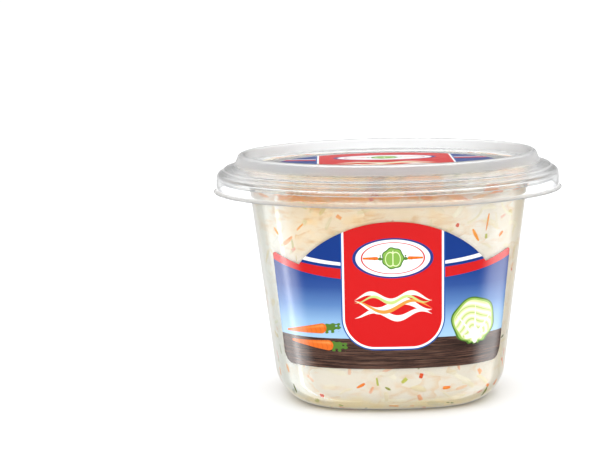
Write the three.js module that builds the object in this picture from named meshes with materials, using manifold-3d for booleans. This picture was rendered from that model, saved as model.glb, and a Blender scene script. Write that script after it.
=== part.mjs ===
// A clear plastic tub of coleslaw: its round lid is pressed over the rim, and labels lie on its front and lid.
// Millimetres, +Z up. The origin is the middle of the tub's flat base, and the front faces -Y.
import * as THREE from 'three';
import { mergeVertices } from 'three/addons/utils/BufferGeometryUtils.js';
import Module from 'manifold-3d';

const wasm = await Module();
wasm.setup();

// ---------------------------------------------------------------- driving dimensions

// Tub: a tapered rounded square with slightly bowed sides and a generous fillet round its base.
const WALL = 0.8;
const TAPER = THREE.MathUtils.degToRad(6.9);
const LIP_Z = 65.5;
const HALF_WIDTH_AT_LIP = 43.5;
const CORNER_AT_LIP = 26.7;
const CORNER_AT_BASE = 24.8;
const SIDE_BOW = 1.2;
const BASE_FILLET = 10.2;

// Rim: a flat round flange with a short hem turned down.
const RIM_Z = 70.8;
const FLANGE_RADIUS = 52.8;
const HEM_HEIGHT = 2.2;
const RIM_EDGE_ROUNDING = 0.4;

// Lid: a round thermoformed cap with a raised ring round a sunken panel.
const LID_RADIUS = 55;
const LID_WALL = 0.6;
const LIP_HEIGHT = 0.4;
const LIP_REACH = 1.2;
const SKIRT_RADIUS = 54.15;
const SKIRT_TOP_Z = 70;
const SHOULDER_RADIUS = 53.2;
const SHOULDER_Z = 71.7;
const DECK_EDGE_RADIUS = 51.6;
const DECK_EDGE_Z = 72.9;
const RING_FOOT_RADIUS = 48.1;
const RING_FOOT_Z = 74.0;
const RING_RADIUS = 46.1;
const RING_TOP_Z = 77.3;
const RING_HALF_CREST = 1.05;
const RING_EDGE_ROUNDING = 0.5;
const PANEL_RADIUS = 43.6;
const PANEL_Z = 73.1;
const FOOT_ROUNDING = 0.7;

// Labels: thin skins held clear of the plastic that backs them.
const CLEARANCE = 0.3;
const LABEL_THICKNESS = 0.25;
const LID_LABEL_RADIUS = 36;
const LABEL_BOTTOM_Z = 14.7;
const LABEL_CROWN_Z = 60;
const LABEL_NOTCH = { s: 29, z: 46.8 };
const LABEL_WING_Z = 50.2;
const LABEL_HALF_WIDTH_TOP = 39.9;
const LABEL_HALF_WIDTH_BOTTOM = 37.6;
const LABEL_CORNER = 4;

// Coleslaw: a pressed heap of shreds that fills the tub up to the lid.
const HEAP_TOP_Z = 69.2;
const HEAP_RELIEF = 0.9;
const CORE_INSET = 0.85;
const SEED = 20417;

// Shreds on top of the heap, with the ranges of their lengths and widths.
const TOP_STRIPS = 38;
const TOP_SPREAD_RADIUS = 41;
const TOP_STEPS = 3;
const CABBAGE = { length: [16, 32], width: [2.2, 4.0] };
const CARROT = { length: [14, 26], width: [1.5, 2.3] };
const TOP_THICKNESS = [1.1, 1.7];
const TOP_CURL = 0.05;
const TOP_LIFT = [0.1, 1.1];
const TOP_LEAN = 0.35;

// Bits pressed flat against the wall.
const SIDE_STRIPS = 44;
const SIDE_BAND = [11, 67];
const SIDE_REACH = 32;
const BIT = { length: [3, 9], width: [1.2, 2.6], thickness: 0.5, slope: 0.9, bulge: 0.25 };

// Share of the full width that a shred keeps at its ends.
const STRIP_END_SHARE = 0.55;

// Facets round the tub, the lid and along the label.
const SIDE_STEPS = 4;
const CORNER_STEPS = 8;
const LID_SEGMENTS = 48;
const LABEL_COLUMNS = 40;
const LABEL_ROWS = 3;

// ---------------------------------------------------------------- small helpers

/** A repeatable stream of numbers from 0 to 1. */
function randomStream(seed) {
  let state = seed;
  return () => {
    state = (state + 0x6d2b79f5) | 0;
    let mixed = Math.imul(state ^ (state >>> 15), 1 | state);
    mixed = (mixed + Math.imul(mixed ^ (mixed >>> 7), 61 | mixed)) ^ mixed;
    return ((mixed ^ (mixed >>> 14)) >>> 0) / 4294967296;
  };
}

const random = randomStream(SEED);
const between = (low, high) => low + (high - low) * random();

/** A mesh geometry from a list of corner points and a list of triangles. */
function geometryOf(points, triangles) {
  const geometry = new THREE.BufferGeometry();
  const flat = points.flatMap((point) => [point.x, point.y, point.z]);
  geometry.setAttribute('position', new THREE.Float32BufferAttribute(flat, 3));
  geometry.setIndex(triangles.flat());
  return geometry;
}

/** A closed skin through a stack of loops with equal counts, closed at both ends by a fan on the axis. */
function loftLoops(loops, startZ, endZ) {
  const count = loops[0].length;
  const points = loops.flat();
  const triangles = [];
  for (let level = 0; level + 1 < loops.length; level += 1) {
    for (let i = 0; i < count; i += 1) {
      const a = level * count + i;
      const b = level * count + ((i + 1) % count);
      triangles.push([a, b, b + count], [a, b + count, a + count]);
    }
  }
  const start = points.push(new THREE.Vector3(0, 0, startZ)) - 1;
  const end = points.push(new THREE.Vector3(0, 0, endZ)) - 1;
  const lastLoop = (loops.length - 1) * count;
  for (let i = 0; i < count; i += 1) {
    const next = (i + 1) % count;
    triangles.push([start, next, i], [end, lastLoop + i, lastLoop + next]);
  }
  return geometryOf(points, triangles);
}

/** A closed geometry as a solid that can be joined and cut. */
function solidOf(geometry) {
  const bare = geometry.clone();
  bare.deleteAttribute('normal');
  bare.deleteAttribute('uv');
  const merged = mergeVertices(bare);
  const mesh = new wasm.Mesh({
    numProp: 3,
    vertProperties: Float32Array.from(merged.attributes.position.array),
    triVerts: Uint32Array.from(merged.index.array),
  });
  return new wasm.Manifold(mesh);
}

/** The geometry of a joined solid. */
function geometryFrom(solid) {
  const mesh = solid.getMesh();
  const geometry = new THREE.BufferGeometry();
  geometry.setAttribute('position', new THREE.Float32BufferAttribute(mesh.vertProperties, 3));
  geometry.setIndex(Array.from(mesh.triVerts));
  return geometry;
}

/** A closed section of radius and height turned round the Z axis. */
function turned(section) {
  return new THREE.LatheGeometry(section, LID_SEGMENTS).rotateX(Math.PI / 2);
}

function namedMesh(name, geometry, look) {
  geometry.computeVertexNormals();
  const mesh = new THREE.Mesh(geometry, new THREE.MeshStandardMaterial(look));
  mesh.name = name;
  return mesh;
}

// ---------------------------------------------------------------- the tub's plan

const halfWidthAt = (z) => HALF_WIDTH_AT_LIP - (LIP_Z - z) * Math.tan(TAPER);
const cornerAt = (z) => THREE.MathUtils.mapLinear(z, BASE_FILLET, LIP_Z, CORNER_AT_BASE, CORNER_AT_LIP);

// Middle of the base fillet: it touches the base plane and the tapered wall.
const FILLET_MIDDLE = halfWidthAt(BASE_FILLET) - BASE_FILLET / Math.cos(TAPER);

/**
 * The arcs of a square with bowed sides and round corners. Each side is an arc of sideRadius about a
 * point behind it, each corner an arc about (middle, middle), and they meet tangent at the angle sweep.
 */
function planArcs(halfWidth, corner) {
  const chord = halfWidth - corner;
  const sideRadius = (chord * chord + SIDE_BOW * SIDE_BOW) / (2 * SIDE_BOW);
  const back = halfWidth - sideRadius;
  const gap = sideRadius - corner;
  const middle = (back + Math.sqrt(2 * gap * gap - back * back)) / 2;
  return { sideRadius, back, middle, sweep: Math.atan2(middle, middle - back) };
}

/** The outline of the rounded square, counter-clockwise from the front face's left corner. */
function outline(halfWidth, corner, z) {
  const { sideRadius, back, middle, sweep } = planArcs(halfWidth, corner);
  const loop = [];
  for (let quarter = 0; quarter < 4; quarter += 1) {
    const turn = (quarter - 1) * (Math.PI / 2);
    const place = (x, y) => {
      const c = Math.cos(turn);
      const s = Math.sin(turn);
      loop.push(new THREE.Vector3(c * x - s * y, s * x + c * y, z));
    };
    for (let i = 0; i < SIDE_STEPS; i += 1) {
      const angle = THREE.MathUtils.lerp(-sweep, sweep, i / SIDE_STEPS);
      place(back + sideRadius * Math.cos(angle), sideRadius * Math.sin(angle));
    }
    for (let i = 0; i < CORNER_STEPS; i += 1) {
      const angle = THREE.MathUtils.lerp(sweep, Math.PI / 2 - sweep, i / CORNER_STEPS);
      place(middle + corner * Math.cos(angle), middle + corner * Math.sin(angle));
    }
  }
  return loop;
}

/** The wall's outline at a height, moved inwards by inset. */
function wallOutline(z, inset = 0) {
  return outline(halfWidthAt(z) - inset, cornerAt(z) - inset, z);
}

/** Loops that round the base from its flat up to the wall, moved inwards by inset. */
function filletOutlines(inset, steps) {
  const radius = BASE_FILLET - inset;
  const loops = [];
  for (let i = 0; i <= steps; i += 1) {
    const angle = THREE.MathUtils.lerp(-Math.PI / 2, -TAPER, i / steps);
    const halfWidth = FILLET_MIDDLE + radius * Math.cos(angle);
    const corner = CORNER_AT_BASE - (halfWidthAt(BASE_FILLET) - halfWidth);
    loops.push(outline(halfWidth, corner, BASE_FILLET + radius * Math.sin(angle)));
  }
  return loops;
}

/** The points of a loop pushed out to a circle, each along its own direction. */
function circleFrom(loop, radius, z) {
  return loop.map((point) => {
    const scale = radius / Math.hypot(point.x, point.y);
    return new THREE.Vector3(point.x * scale, point.y * scale, z);
  });
}

// ---------------------------------------------------------------- tub

function tubGeometry() {
  const underFlange = RIM_Z - WALL;
  const top = wallOutline(underFlange);
  const hemInside = FLANGE_RADIUS - WALL;
  const outside = [
    ...filletOutlines(0, 5),
    top,
    circleFrom(top, hemInside, underFlange),
    circleFrom(top, hemInside, RIM_Z - HEM_HEIGHT),
    circleFrom(top, FLANGE_RADIUS, RIM_Z - HEM_HEIGHT),
    circleFrom(top, FLANGE_RADIUS, RIM_Z - RIM_EDGE_ROUNDING),
    circleFrom(top, FLANGE_RADIUS - RIM_EDGE_ROUNDING, RIM_Z),
  ];
  const inside = [wallOutline(RIM_Z, WALL), ...filletOutlines(WALL, 4).reverse()];
  return loftLoops([...outside, ...inside], 0, WALL);
}

// ---------------------------------------------------------------- lid

/** The lid's upper face from its middle out to the lip, as radius and height. */
function lidProfile() {
  return [
    [0, PANEL_Z],
    [PANEL_RADIUS, PANEL_Z],
    [PANEL_RADIUS + FOOT_ROUNDING, PANEL_Z + FOOT_ROUNDING],
    [RING_RADIUS - RING_HALF_CREST, RING_TOP_Z - RING_EDGE_ROUNDING],
    [RING_RADIUS, RING_TOP_Z],
    [RING_RADIUS + RING_HALF_CREST, RING_TOP_Z - RING_EDGE_ROUNDING],
    [RING_FOOT_RADIUS, RING_FOOT_Z + FOOT_ROUNDING / 2],
    [RING_FOOT_RADIUS + FOOT_ROUNDING, RING_FOOT_Z - FOOT_ROUNDING / 3],
    [DECK_EDGE_RADIUS, DECK_EDGE_Z],
    [DECK_EDGE_RADIUS + FOOT_ROUNDING / 2, DECK_EDGE_Z - FOOT_ROUNDING],
    [SHOULDER_RADIUS, SHOULDER_Z],
    [SHOULDER_RADIUS + FOOT_ROUNDING, SHOULDER_Z - FOOT_ROUNDING],
    [SKIRT_RADIUS, SKIRT_TOP_Z],
    [SKIRT_RADIUS, LIP_Z + LIP_REACH],
    [LID_RADIUS - LIP_HEIGHT, LIP_Z + LIP_HEIGHT],
    [LID_RADIUS, LIP_Z + LIP_HEIGHT / 2],
    [LID_RADIUS, LIP_Z],
  ].map(([radius, z]) => new THREE.Vector2(radius, z));
}

/** A profile moved inwards by a thickness, along the mean normal at each of its points. */
function insetProfile(profile, thickness) {
  return profile.map((point, i) => {
    const before = profile[Math.max(i - 1, 0)];
    const after = profile[Math.min(i + 1, profile.length - 1)];
    const along = after.clone().sub(before).normalize();
    const bend = i > 0 && i + 1 < profile.length
      ? after.clone().sub(point).normalize().dot(along)
      : 1;
    const inwards = new THREE.Vector2(along.y, -along.x);
    return point.clone().addScaledVector(inwards, thickness / Math.max(bend, 0.75));
  });
}

function lidGeometry() {
  const upper = lidProfile();
  const lower = insetProfile(upper, LID_WALL);
  lower[0].x = 0;
  lower.pop();
  lower[lower.length - 1].set(SKIRT_RADIUS - LID_WALL + LIP_HEIGHT, LIP_Z);
  lower[lower.length - 2].set(SKIRT_RADIUS - LID_WALL, LIP_Z + LIP_REACH - LIP_HEIGHT);
  return turned([...lower, ...upper.reverse()]);
}

// ---------------------------------------------------------------- labels

/** A point on the front of the wall, s along it from its middle line at height z, proud of it. */
function wallPoint(s, z, proud) {
  const halfWidth = halfWidthAt(z);
  const corner = cornerAt(z);
  const { sideRadius, back, middle, sweep } = planArcs(halfWidth, corner);
  const sideLength = sideRadius * sweep;
  const along = Math.abs(s);
  const onSide = along <= sideLength;
  const angle = onSide ? along / sideRadius : sweep + (along - sideLength) / corner;
  const reach = onSide ? sideRadius + proud : corner + proud;
  const forward = (onSide ? back : middle) + reach * Math.cos(angle);
  const sideways = (onSide ? 0 : middle) + reach * Math.sin(angle);
  return new THREE.Vector3(Math.sign(s) * sideways, -forward, z);
}

/** Upper edge of the side label: an arch between two notches, then wings that rise to the sides. */
function labelTop(s) {
  const along = Math.abs(s);
  if (along >= LABEL_NOTCH.s) {
    return THREE.MathUtils.mapLinear(along, LABEL_NOTCH.s, LABEL_HALF_WIDTH_TOP, LABEL_NOTCH.z, LABEL_WING_Z);
  }
  const rise = LABEL_CROWN_Z - LABEL_NOTCH.z;
  const radius = (LABEL_NOTCH.s ** 2 + rise ** 2) / (2 * rise);
  return LABEL_CROWN_Z - radius + Math.sqrt(radius ** 2 - along ** 2);
}

/** Lower edge of the side label: straight, with round corners. */
function labelBottom(s) {
  const intoCorner = Math.abs(s) - (LABEL_HALF_WIDTH_TOP - LABEL_CORNER);
  if (intoCorner <= 0) return LABEL_BOTTOM_Z;
  return LABEL_BOTTOM_Z + LABEL_CORNER - Math.sqrt(LABEL_CORNER ** 2 - intoCorner ** 2);
}

/** Columns across the label, closer together at its round corners and with one on each notch. */
function labelColumns() {
  const columns = [];
  for (let i = 0; i <= LABEL_COLUMNS; i += 1) {
    columns.push(LABEL_HALF_WIDTH_TOP * Math.sin(((i / LABEL_COLUMNS) - 0.5) * Math.PI));
  }
  return columns.map((s) => (Math.abs(Math.abs(s) - LABEL_NOTCH.s) < 1 ? Math.sign(s) * LABEL_NOTCH.s : s));
}

function sideLabelGeometry() {
  const columns = labelColumns();
  const grid = (proud) => columns.flatMap((s) => {
    const low = labelBottom(s);
    const high = labelTop(s);
    const column = [];
    for (let row = 0; row <= LABEL_ROWS; row += 1) {
      const z = THREE.MathUtils.lerp(low, high, row / LABEL_ROWS);
      const widthShare = THREE.MathUtils.mapLinear(
        z, LABEL_BOTTOM_Z, LABEL_WING_Z, LABEL_HALF_WIDTH_BOTTOM / LABEL_HALF_WIDTH_TOP, 1);
      column.push(wallPoint(s * Math.min(widthShare, 1), z, proud));
    }
    return column;
  });
  const front = grid(CLEARANCE + LABEL_THICKNESS);
  const rear = grid(CLEARANCE);
  const rows = LABEL_ROWS + 1;
  const offset = front.length;
  const triangles = [];
  for (let i = 0; i + 1 < columns.length; i += 1) {
    for (let row = 0; row < LABEL_ROWS; row += 1) {
      const a = i * rows + row;
      const b = a + rows;
      triangles.push([a, b, b + 1], [a, b + 1, a + 1]);
      triangles.push([offset + a, offset + b + 1, offset + b], [offset + a, offset + a + 1, offset + b + 1]);
    }
  }
  const rim = [];
  for (let i = 0; i + 1 < columns.length; i += 1) rim.push(i * rows);
  for (let row = 0; row < LABEL_ROWS; row += 1) rim.push((columns.length - 1) * rows + row);
  for (let i = columns.length - 1; i > 0; i -= 1) rim.push(i * rows + LABEL_ROWS);
  for (let row = LABEL_ROWS; row > 0; row -= 1) rim.push(row);
  rim.forEach((a, i) => {
    const b = rim[(i + 1) % rim.length];
    triangles.push([a, offset + a, offset + b], [a, offset + b, b]);
  });
  return geometryOf([...front, ...rear], triangles);
}

function lidLabelGeometry() {
  const low = PANEL_Z + CLEARANCE;
  const section = [
    new THREE.Vector2(0, low),
    new THREE.Vector2(LID_LABEL_RADIUS, low),
    new THREE.Vector2(LID_LABEL_RADIUS, low + LABEL_THICKNESS),
    new THREE.Vector2(0, low + LABEL_THICKNESS),
  ];
  return turned(section);
}

// ---------------------------------------------------------------- coleslaw

/** Height of the heap's upper face: low swells at three scales. */
function heapHeight(x, y) {
  const broad = Math.sin(x * 0.085 + 0.6) * Math.cos(y * 0.098 - 0.4);
  const medium = Math.sin(x * 0.21 - y * 0.17 + 1.9);
  const fine = Math.sin(x * 0.37 + 0.3) * Math.sin(y * 0.33 - 1.1);
  return HEAP_TOP_Z + HEAP_RELIEF * (0.5 * broad + 0.3 * medium + 0.2 * fine);
}

/** The tub's inner space moved inwards by inset and filled up to a height that may vary. */
function fillGeometry(inset, heightAt, shares) {
  const everyOther = (loop) => loop.filter((point, i) => i % 2 === 0);
  const sides = filletOutlines(WALL + inset, 3).map(everyOther);
  const rim = everyOther(wallOutline(HEAP_TOP_Z, WALL + inset));
  const upper = shares.map((share) => rim.map(({ x, y }) => (
    new THREE.Vector3(x * share, y * share, heightAt(x * share, y * share)))));
  return loftLoops([...sides, ...upper], WALL + inset, heightAt(0, 0));
}

/** A flat strip along a path: four long faces and two ends, turned so that its flat side faces up. */
function stripGeometry(path, facing, width, thickness) {
  const loops = path.map((point, i) => {
    const before = path[Math.max(i - 1, 0)];
    const after = path[Math.min(i + 1, path.length - 1)];
    const along = after.clone().sub(before).normalize();
    const across = new THREE.Vector3().crossVectors(along, facing[i]).normalize();
    const out = new THREE.Vector3().crossVectors(across, along);
    const share = i === 0 || i === path.length - 1 ? STRIP_END_SHARE : 1;
    return [[-1, -1], [1, -1], [1, 1], [-1, 1]].map(([side, level]) => (
      point.clone()
        .addScaledVector(across, (side * share * width) / 2)
        .addScaledVector(out, (level * thickness) / 2)));
  });
  const points = loops.flat();
  const triangles = [[0, 1, 2], [0, 2, 3]];
  for (let level = 0; level + 1 < loops.length; level += 1) {
    for (let i = 0; i < 4; i += 1) {
      const a = level * 4 + i;
      const b = level * 4 + ((i + 1) % 4);
      triangles.push([a, b + 4, b], [a, a + 4, b + 4]);
    }
  }
  const last = (loops.length - 1) * 4;
  triangles.push([last, last + 2, last + 1], [last, last + 3, last + 2]);
  return geometryOf(points, triangles);
}

/** Shreds that lie on top of the heap: long curved cabbage strips and narrower carrot ones. */
function topStrips() {
  const strips = [];
  const golden = Math.PI * (3 - Math.sqrt(5));
  for (let i = 0; i < TOP_STRIPS; i += 1) {
    const radius = TOP_SPREAD_RADIUS * Math.sqrt((i + 0.5) / TOP_STRIPS);
    const around = i * golden;
    const kind = i % 3 === 1 ? CARROT : CABBAGE;
    const length = between(...kind.length);
    const width = between(...kind.width);
    const thickness = between(...TOP_THICKNESS);
    const heading = between(0, Math.PI * 2);
    const curl = between(-TOP_CURL, TOP_CURL);
    const lift = between(...TOP_LIFT);
    const step = length / TOP_STEPS;
    const path = [];
    let x = radius * Math.cos(around) - (Math.cos(heading) * length) / 2;
    let y = radius * Math.sin(around) - (Math.sin(heading) * length) / 2;
    let angle = heading;
    for (let k = 0; k <= TOP_STEPS; k += 1) {
      const arch = Math.sin((Math.PI * k) / TOP_STEPS) * lift;
      path.push(new THREE.Vector3(x, y, heapHeight(x, y) + arch));
      x += Math.cos(angle) * step;
      y += Math.sin(angle) * step;
      angle += curl * step;
    }
    const lean = new THREE.Vector3(between(-TOP_LEAN, TOP_LEAN), between(-TOP_LEAN, TOP_LEAN), 1).normalize();
    strips.push(stripGeometry(path, path.map(() => lean), width, thickness));
  }
  return strips;
}

/** Bits pressed flat against the wall, standing a little out of the heap's side. */
function sideStrips() {
  const strips = [];
  for (let i = 0; i < SIDE_STRIPS; i += 1) {
    const quarter = (i % 4) * (Math.PI / 2);
    const z = between(...SIDE_BAND);
    const s = between(-SIDE_REACH, SIDE_REACH);
    const length = between(...BIT.length);
    const width = between(...BIT.width);
    const tilt = between(-BIT.slope, BIT.slope);
    const path = [-1, 0, 1].map((end) => {
      const along = s + (end * length * Math.cos(tilt)) / 2;
      const height = z + (end * length * Math.sin(tilt)) / 2;
      const sunk = WALL + CLEARANCE + BIT.thickness / 2 + (end === 0 ? 0 : BIT.bulge);
      return wallPoint(along, height, -sunk).applyAxisAngle(new THREE.Vector3(0, 0, 1), quarter);
    });
    const facing = path.map((point) => new THREE.Vector3(point.x, point.y, 0).normalize());
    strips.push(stripGeometry(path, facing, width, BIT.thickness));
  }
  return strips;
}

function coleslawGeometry() {
  const core = solidOf(fillGeometry(CORE_INSET, heapHeight, [1, 0.7, 0.35]));
  const lidUnderside = PANEL_Z - LID_WALL - CLEARANCE;
  const space = solidOf(fillGeometry(CLEARANCE, () => lidUnderside, [1]));
  const strips = [...topStrips(), ...sideStrips()].map(solidOf);
  const heap = wasm.Manifold.union([core, ...strips]).intersect(space);
  const pieces = heap.decompose();
  pieces.sort((a, b) => b.volume() - a.volume());
  return geometryFrom(pieces[0]);
}

// ---------------------------------------------------------------- the whole pack

const pack = new THREE.Group();
pack.add(
  namedMesh('tub', tubGeometry(), {
    color: 0xe9ebe8, roughness: 0.12, metalness: 0, transparent: true, opacity: 0.3,
  }),
  namedMesh('lid', lidGeometry(), {
    color: 0xeef0f0, roughness: 0.1, metalness: 0, transparent: true, opacity: 0.35,
  }),
  namedMesh('side_label', sideLabelGeometry(), { color: 0x2a4fa0, roughness: 0.4, metalness: 0 }),
  namedMesh('lid_label', lidLabelGeometry(), { color: 0xd8232a, roughness: 0.4, metalness: 0 }),
  namedMesh('coleslaw', coleslawGeometry(), { color: 0xe9dfc9, roughness: 0.55, metalness: 0 }),
);

export default pack;
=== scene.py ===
"""A shut tub of coleslaw: a clear tub and lid, printed labels, and the pressed salad that fills it.

The classes hold their sizes in millimetres, and the meshes are made in metres. Finishes measure places on
a piece in metres, and places on a label's chart in millimetres. +Z is up, the labelled front faces -Y, and
the origin is the middle of the base.
"""

import logging
import math
from collections.abc import Callable
from dataclasses import dataclass, field
from enum import Enum

import bpy
import numpy as np
from mathutils import Matrix, Vector


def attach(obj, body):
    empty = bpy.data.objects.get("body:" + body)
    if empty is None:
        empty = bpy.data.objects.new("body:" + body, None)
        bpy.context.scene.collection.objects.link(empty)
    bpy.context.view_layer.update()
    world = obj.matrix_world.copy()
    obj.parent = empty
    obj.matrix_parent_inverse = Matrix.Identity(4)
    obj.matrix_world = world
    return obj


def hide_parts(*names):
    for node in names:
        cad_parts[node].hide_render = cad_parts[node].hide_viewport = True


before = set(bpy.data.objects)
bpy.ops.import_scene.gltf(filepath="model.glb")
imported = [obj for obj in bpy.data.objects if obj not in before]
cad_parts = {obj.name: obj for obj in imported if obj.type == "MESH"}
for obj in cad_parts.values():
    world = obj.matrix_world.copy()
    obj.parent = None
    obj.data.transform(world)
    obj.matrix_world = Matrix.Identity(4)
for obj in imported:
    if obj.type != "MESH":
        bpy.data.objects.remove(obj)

Array = np.ndarray
Pair = tuple[float, float]
Triple = tuple[float, float, float]
Rgba = tuple[float, float, float, float]
Socket = bpy.types.NodeSocket

MM = 0.001
BODY = "root"
SEED = 20417
QUARTER_TURN = math.pi / 2
FULL_TURN = 2 * math.pi
CHART = "chart"
CHART_SPAN = 100.0
CHART_MIDDLE = 0.5
SHADE = "shade"
VEIL = "veil"
FILM_CREASE = math.radians(50.0)
HEAP_TOP = 69.2
HEAP_RELIEF = 0.9
GOLDEN_SHARE = 0.6180339887
log = logging.getLogger("coleslaw_tub")


# ---------------------------------------------------------------- meshes


def circle(around: int) -> Array:
    """Angles of points spread evenly round a circle."""
    return np.arange(around) / around * FULL_TURN


def smooth_step(share: Array) -> Array:
    """The share from 0 to 1 with level ends: 3t^2 - 2t^3."""
    held = np.clip(share, 0.0, 1.0)
    return held * held * (3.0 - 2.0 * held)


def unit(vectors: Array) -> Array:
    """The vectors at length 1."""
    return vectors / np.linalg.norm(vectors, axis=-1, keepdims=True)


def raised(flat: Array, height: Array) -> Array:
    """Points in plan, each at its height."""
    return np.concatenate([flat, np.broadcast_to(height, flat.shape[:-1])[..., None]], -1)


def heap_height(x: Array | float, y: Array | float) -> Array | float:
    """Height of the heap's upper face: low swells at three scales, summed.

    Args:
        x: Places across the tub.
        y: Places from front to back.

    Returns:
        The heights.
    """
    broad = np.sin(x * 0.085 + 0.6) * np.cos(y * 0.098 - 0.4)
    medium = np.sin(x * 0.21 - y * 0.17 + 1.9)
    fine = np.sin(x * 0.37 + 0.3) * np.sin(y * 0.33 - 1.1)
    return HEAP_TOP + HEAP_RELIEF * (0.5 * broad + 0.3 * medium + 0.2 * fine)


def tube_faces(rings: int, around: int) -> list[Array]:
    """Faces of a closed skin: the first pole's point, then ring after ring, then the last pole's point.

    Rings run counter-clockwise about the direction of the stack, so that the faces point outwards.

    Args:
        rings: How many rings there are.
        around: How many points each ring has.

    Returns:
        The four-sided faces, and the triangles at the two poles.
    """
    here = np.arange(around)
    after = np.roll(here, -1)
    level = 1 + np.arange(rings - 1)[:, None] * around
    quads = np.stack([level + here, level + after, level + after + around, level + here + around], -1)
    top = 1 + (rings - 1) * around
    first = np.stack([np.zeros(around, int), 1 + after, 1 + here], -1)
    last = np.stack([np.full(around, top + around), top + here, top + after], -1)
    return [quads.reshape(-1, 4), np.concatenate([first, last])]


@dataclass
class Skin:
    """Points and faces of one mesh in the making.

    Attributes:
        points: The points, in millimetres.
        faces: Arrays of faces, each with rows of one length.
        values: Numbers given to the points, by the attribute's name.
        chart: The UV place of each point, if the mesh has one.
        crease: Angle between faces above which their edge is sharp, if there is one.
    """

    points: Array
    faces: list[Array]
    values: dict[str, Array] = field(default_factory=dict)
    chart: Array | None = None
    crease: float | None = None

    @classmethod
    def stacked(cls, rings: Array, low: float, high: float) -> "Skin":
        """The closed skin through rings, with a pole on the axis at each end.

        Args:
            rings: The points, by ring and by place in the ring.
            low: Height of the first pole.
            high: Height of the last pole.

        Returns:
            The skin.
        """
        points = np.concatenate([[[0.0, 0.0, low]], rings.reshape(-1, 3), [[0.0, 0.0, high]]])
        return cls(points, tube_faces(*rings.shape[:2]))

    @classmethod
    def turned(cls, section: Array, around: int, low: float, high: float) -> "Skin":
        """The closed skin that a section makes when it is turned round the axis.

        Args:
            section: Radius and height of each ring.
            around: Points in a ring.
            low: Height of the first pole.
            high: Height of the last pole.

        Returns:
            The skin.
        """
        angle = circle(around)
        flat = section[:, :1, None] * np.stack([np.cos(angle), np.sin(angle)], -1)
        return cls.stacked(raised(flat, section[:, 1:]), low, high)

    def piece(self, name: str, material: bpy.types.Material) -> bpy.types.Object:
        """Makes the smooth-shaded object, at the origin.

        Args:
            name: The object's name.
            material: Its finish.

        Returns:
            The new object.
        """
        mesh = bpy.data.meshes.new(name)
        corners = np.concatenate([part.ravel() for part in self.faces]).astype(np.int32)
        counts = np.concatenate([np.full(len(part), part.shape[1]) for part in self.faces])
        mesh.vertices.add(len(self.points))
        mesh.vertices.foreach_set("co", (self.points * MM).astype(np.float32).ravel())
        mesh.loops.add(len(corners))
        mesh.loops.foreach_set("vertex_index", corners)
        mesh.polygons.add(len(counts))
        starts = np.concatenate([[0], np.cumsum(counts)[:-1]]).astype(np.int32)
        mesh.polygons.foreach_set("loop_start", starts)
        mesh.polygons.foreach_set("use_smooth", np.ones(len(counts), bool))
        mesh.update(calc_edges=True)
        if self.crease is not None:
            mesh.set_sharp_from_angle(angle=self.crease)
        for label, numbers in self.values.items():
            layer = mesh.attributes.new(label, "FLOAT", "POINT")
            layer.data.foreach_set("value", numbers.astype(np.float32))
        if self.chart is not None:
            layer = mesh.uv_layers.new(name=CHART)
            layer.data.foreach_set("uv", self.chart[corners].astype(np.float32).ravel())
        mesh.materials.append(material)
        made = bpy.data.objects.new(name, mesh)
        bpy.context.scene.collection.objects.link(made)
        log.info("%s: %d faces", name, len(counts))
        return made


def settle(piece: bpy.types.Object, slot: str, *nodes: str) -> None:
    """Ties a finished piece to the pack, and hides the solids that it stands for.

    Args:
        piece: The finished piece.
        slot: Its material slot in the pack. Not used.
        nodes: The solids that it stands for.
    """
    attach(piece, BODY)
    if nodes:
        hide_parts(*nodes)


# ---------------------------------------------------------------- node sheets


def tint(red: float, green: float, blue: float) -> Rgba:
    """A display colour, 0 to 255 a channel, as the linear colour that a shader takes.

    Args:
        red: The red channel.
        green: The green channel.
        blue: The blue channel.

    Returns:
        The linear colour.
    """
    shares = np.array([red, green, blue]) / 255.0
    linear = np.where(shares <= 0.04045, shares / 12.92, ((shares + 0.055) / 1.055) ** 2.4)
    return (*(float(share) for share in linear), 1.0)


def joined(operation: str, swapped: bool = False) -> "Callable[[Term, Number], Term]":
    """A method that joins a term and a number by a Math node, in this order or swapped.

    Args:
        operation: The node's operation.
        swapped: Whether the number comes first.

    Returns:
        The method.
    """

    def method(term: "Term", other: "Number") -> "Term":
        """The two, joined."""
        return term.sheet.math(operation, *((other, term) if swapped else (term, other)))

    return method


class Term:
    """A number on its way through a node sheet, joined to others by plain arithmetic."""

    __add__, __mul__, __truediv__ = joined("ADD"), joined("MULTIPLY"), joined("DIVIDE")
    __sub__, __rsub__ = joined("SUBTRACT"), joined("SUBTRACT", True)
    least, most = joined("MINIMUM"), joined("MAXIMUM")

    def __init__(self, sheet: "Sheet", socket: Socket) -> None:
        """Keeps the sheet and the socket that gives the number."""
        self.sheet, self.socket = sheet, socket

    def __abs__(self) -> "Term":
        """The size without its sign."""
        return self.sheet.math("ABSOLUTE", self)

    def wave(self) -> "Term":
        """The sine."""
        return self.sheet.math("SINE", self)

    def span(self, start: float, end: float) -> "Term":
        """0 at start and 1 at end, straight between them and held outside."""
        made = self.sheet.node("MapRange", self, From_Min=start, From_Max=end, clamp=True)
        return Term(self.sheet, made.outputs["Result"])

    def ink(self, edge: float = 0.08) -> "Term":
        """How much a shape covers, from its distance in millimetres, negative inside."""
        return self.span(edge / 2, -edge / 2)


Number = Term | float
Colour = Rgba | Socket


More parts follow.
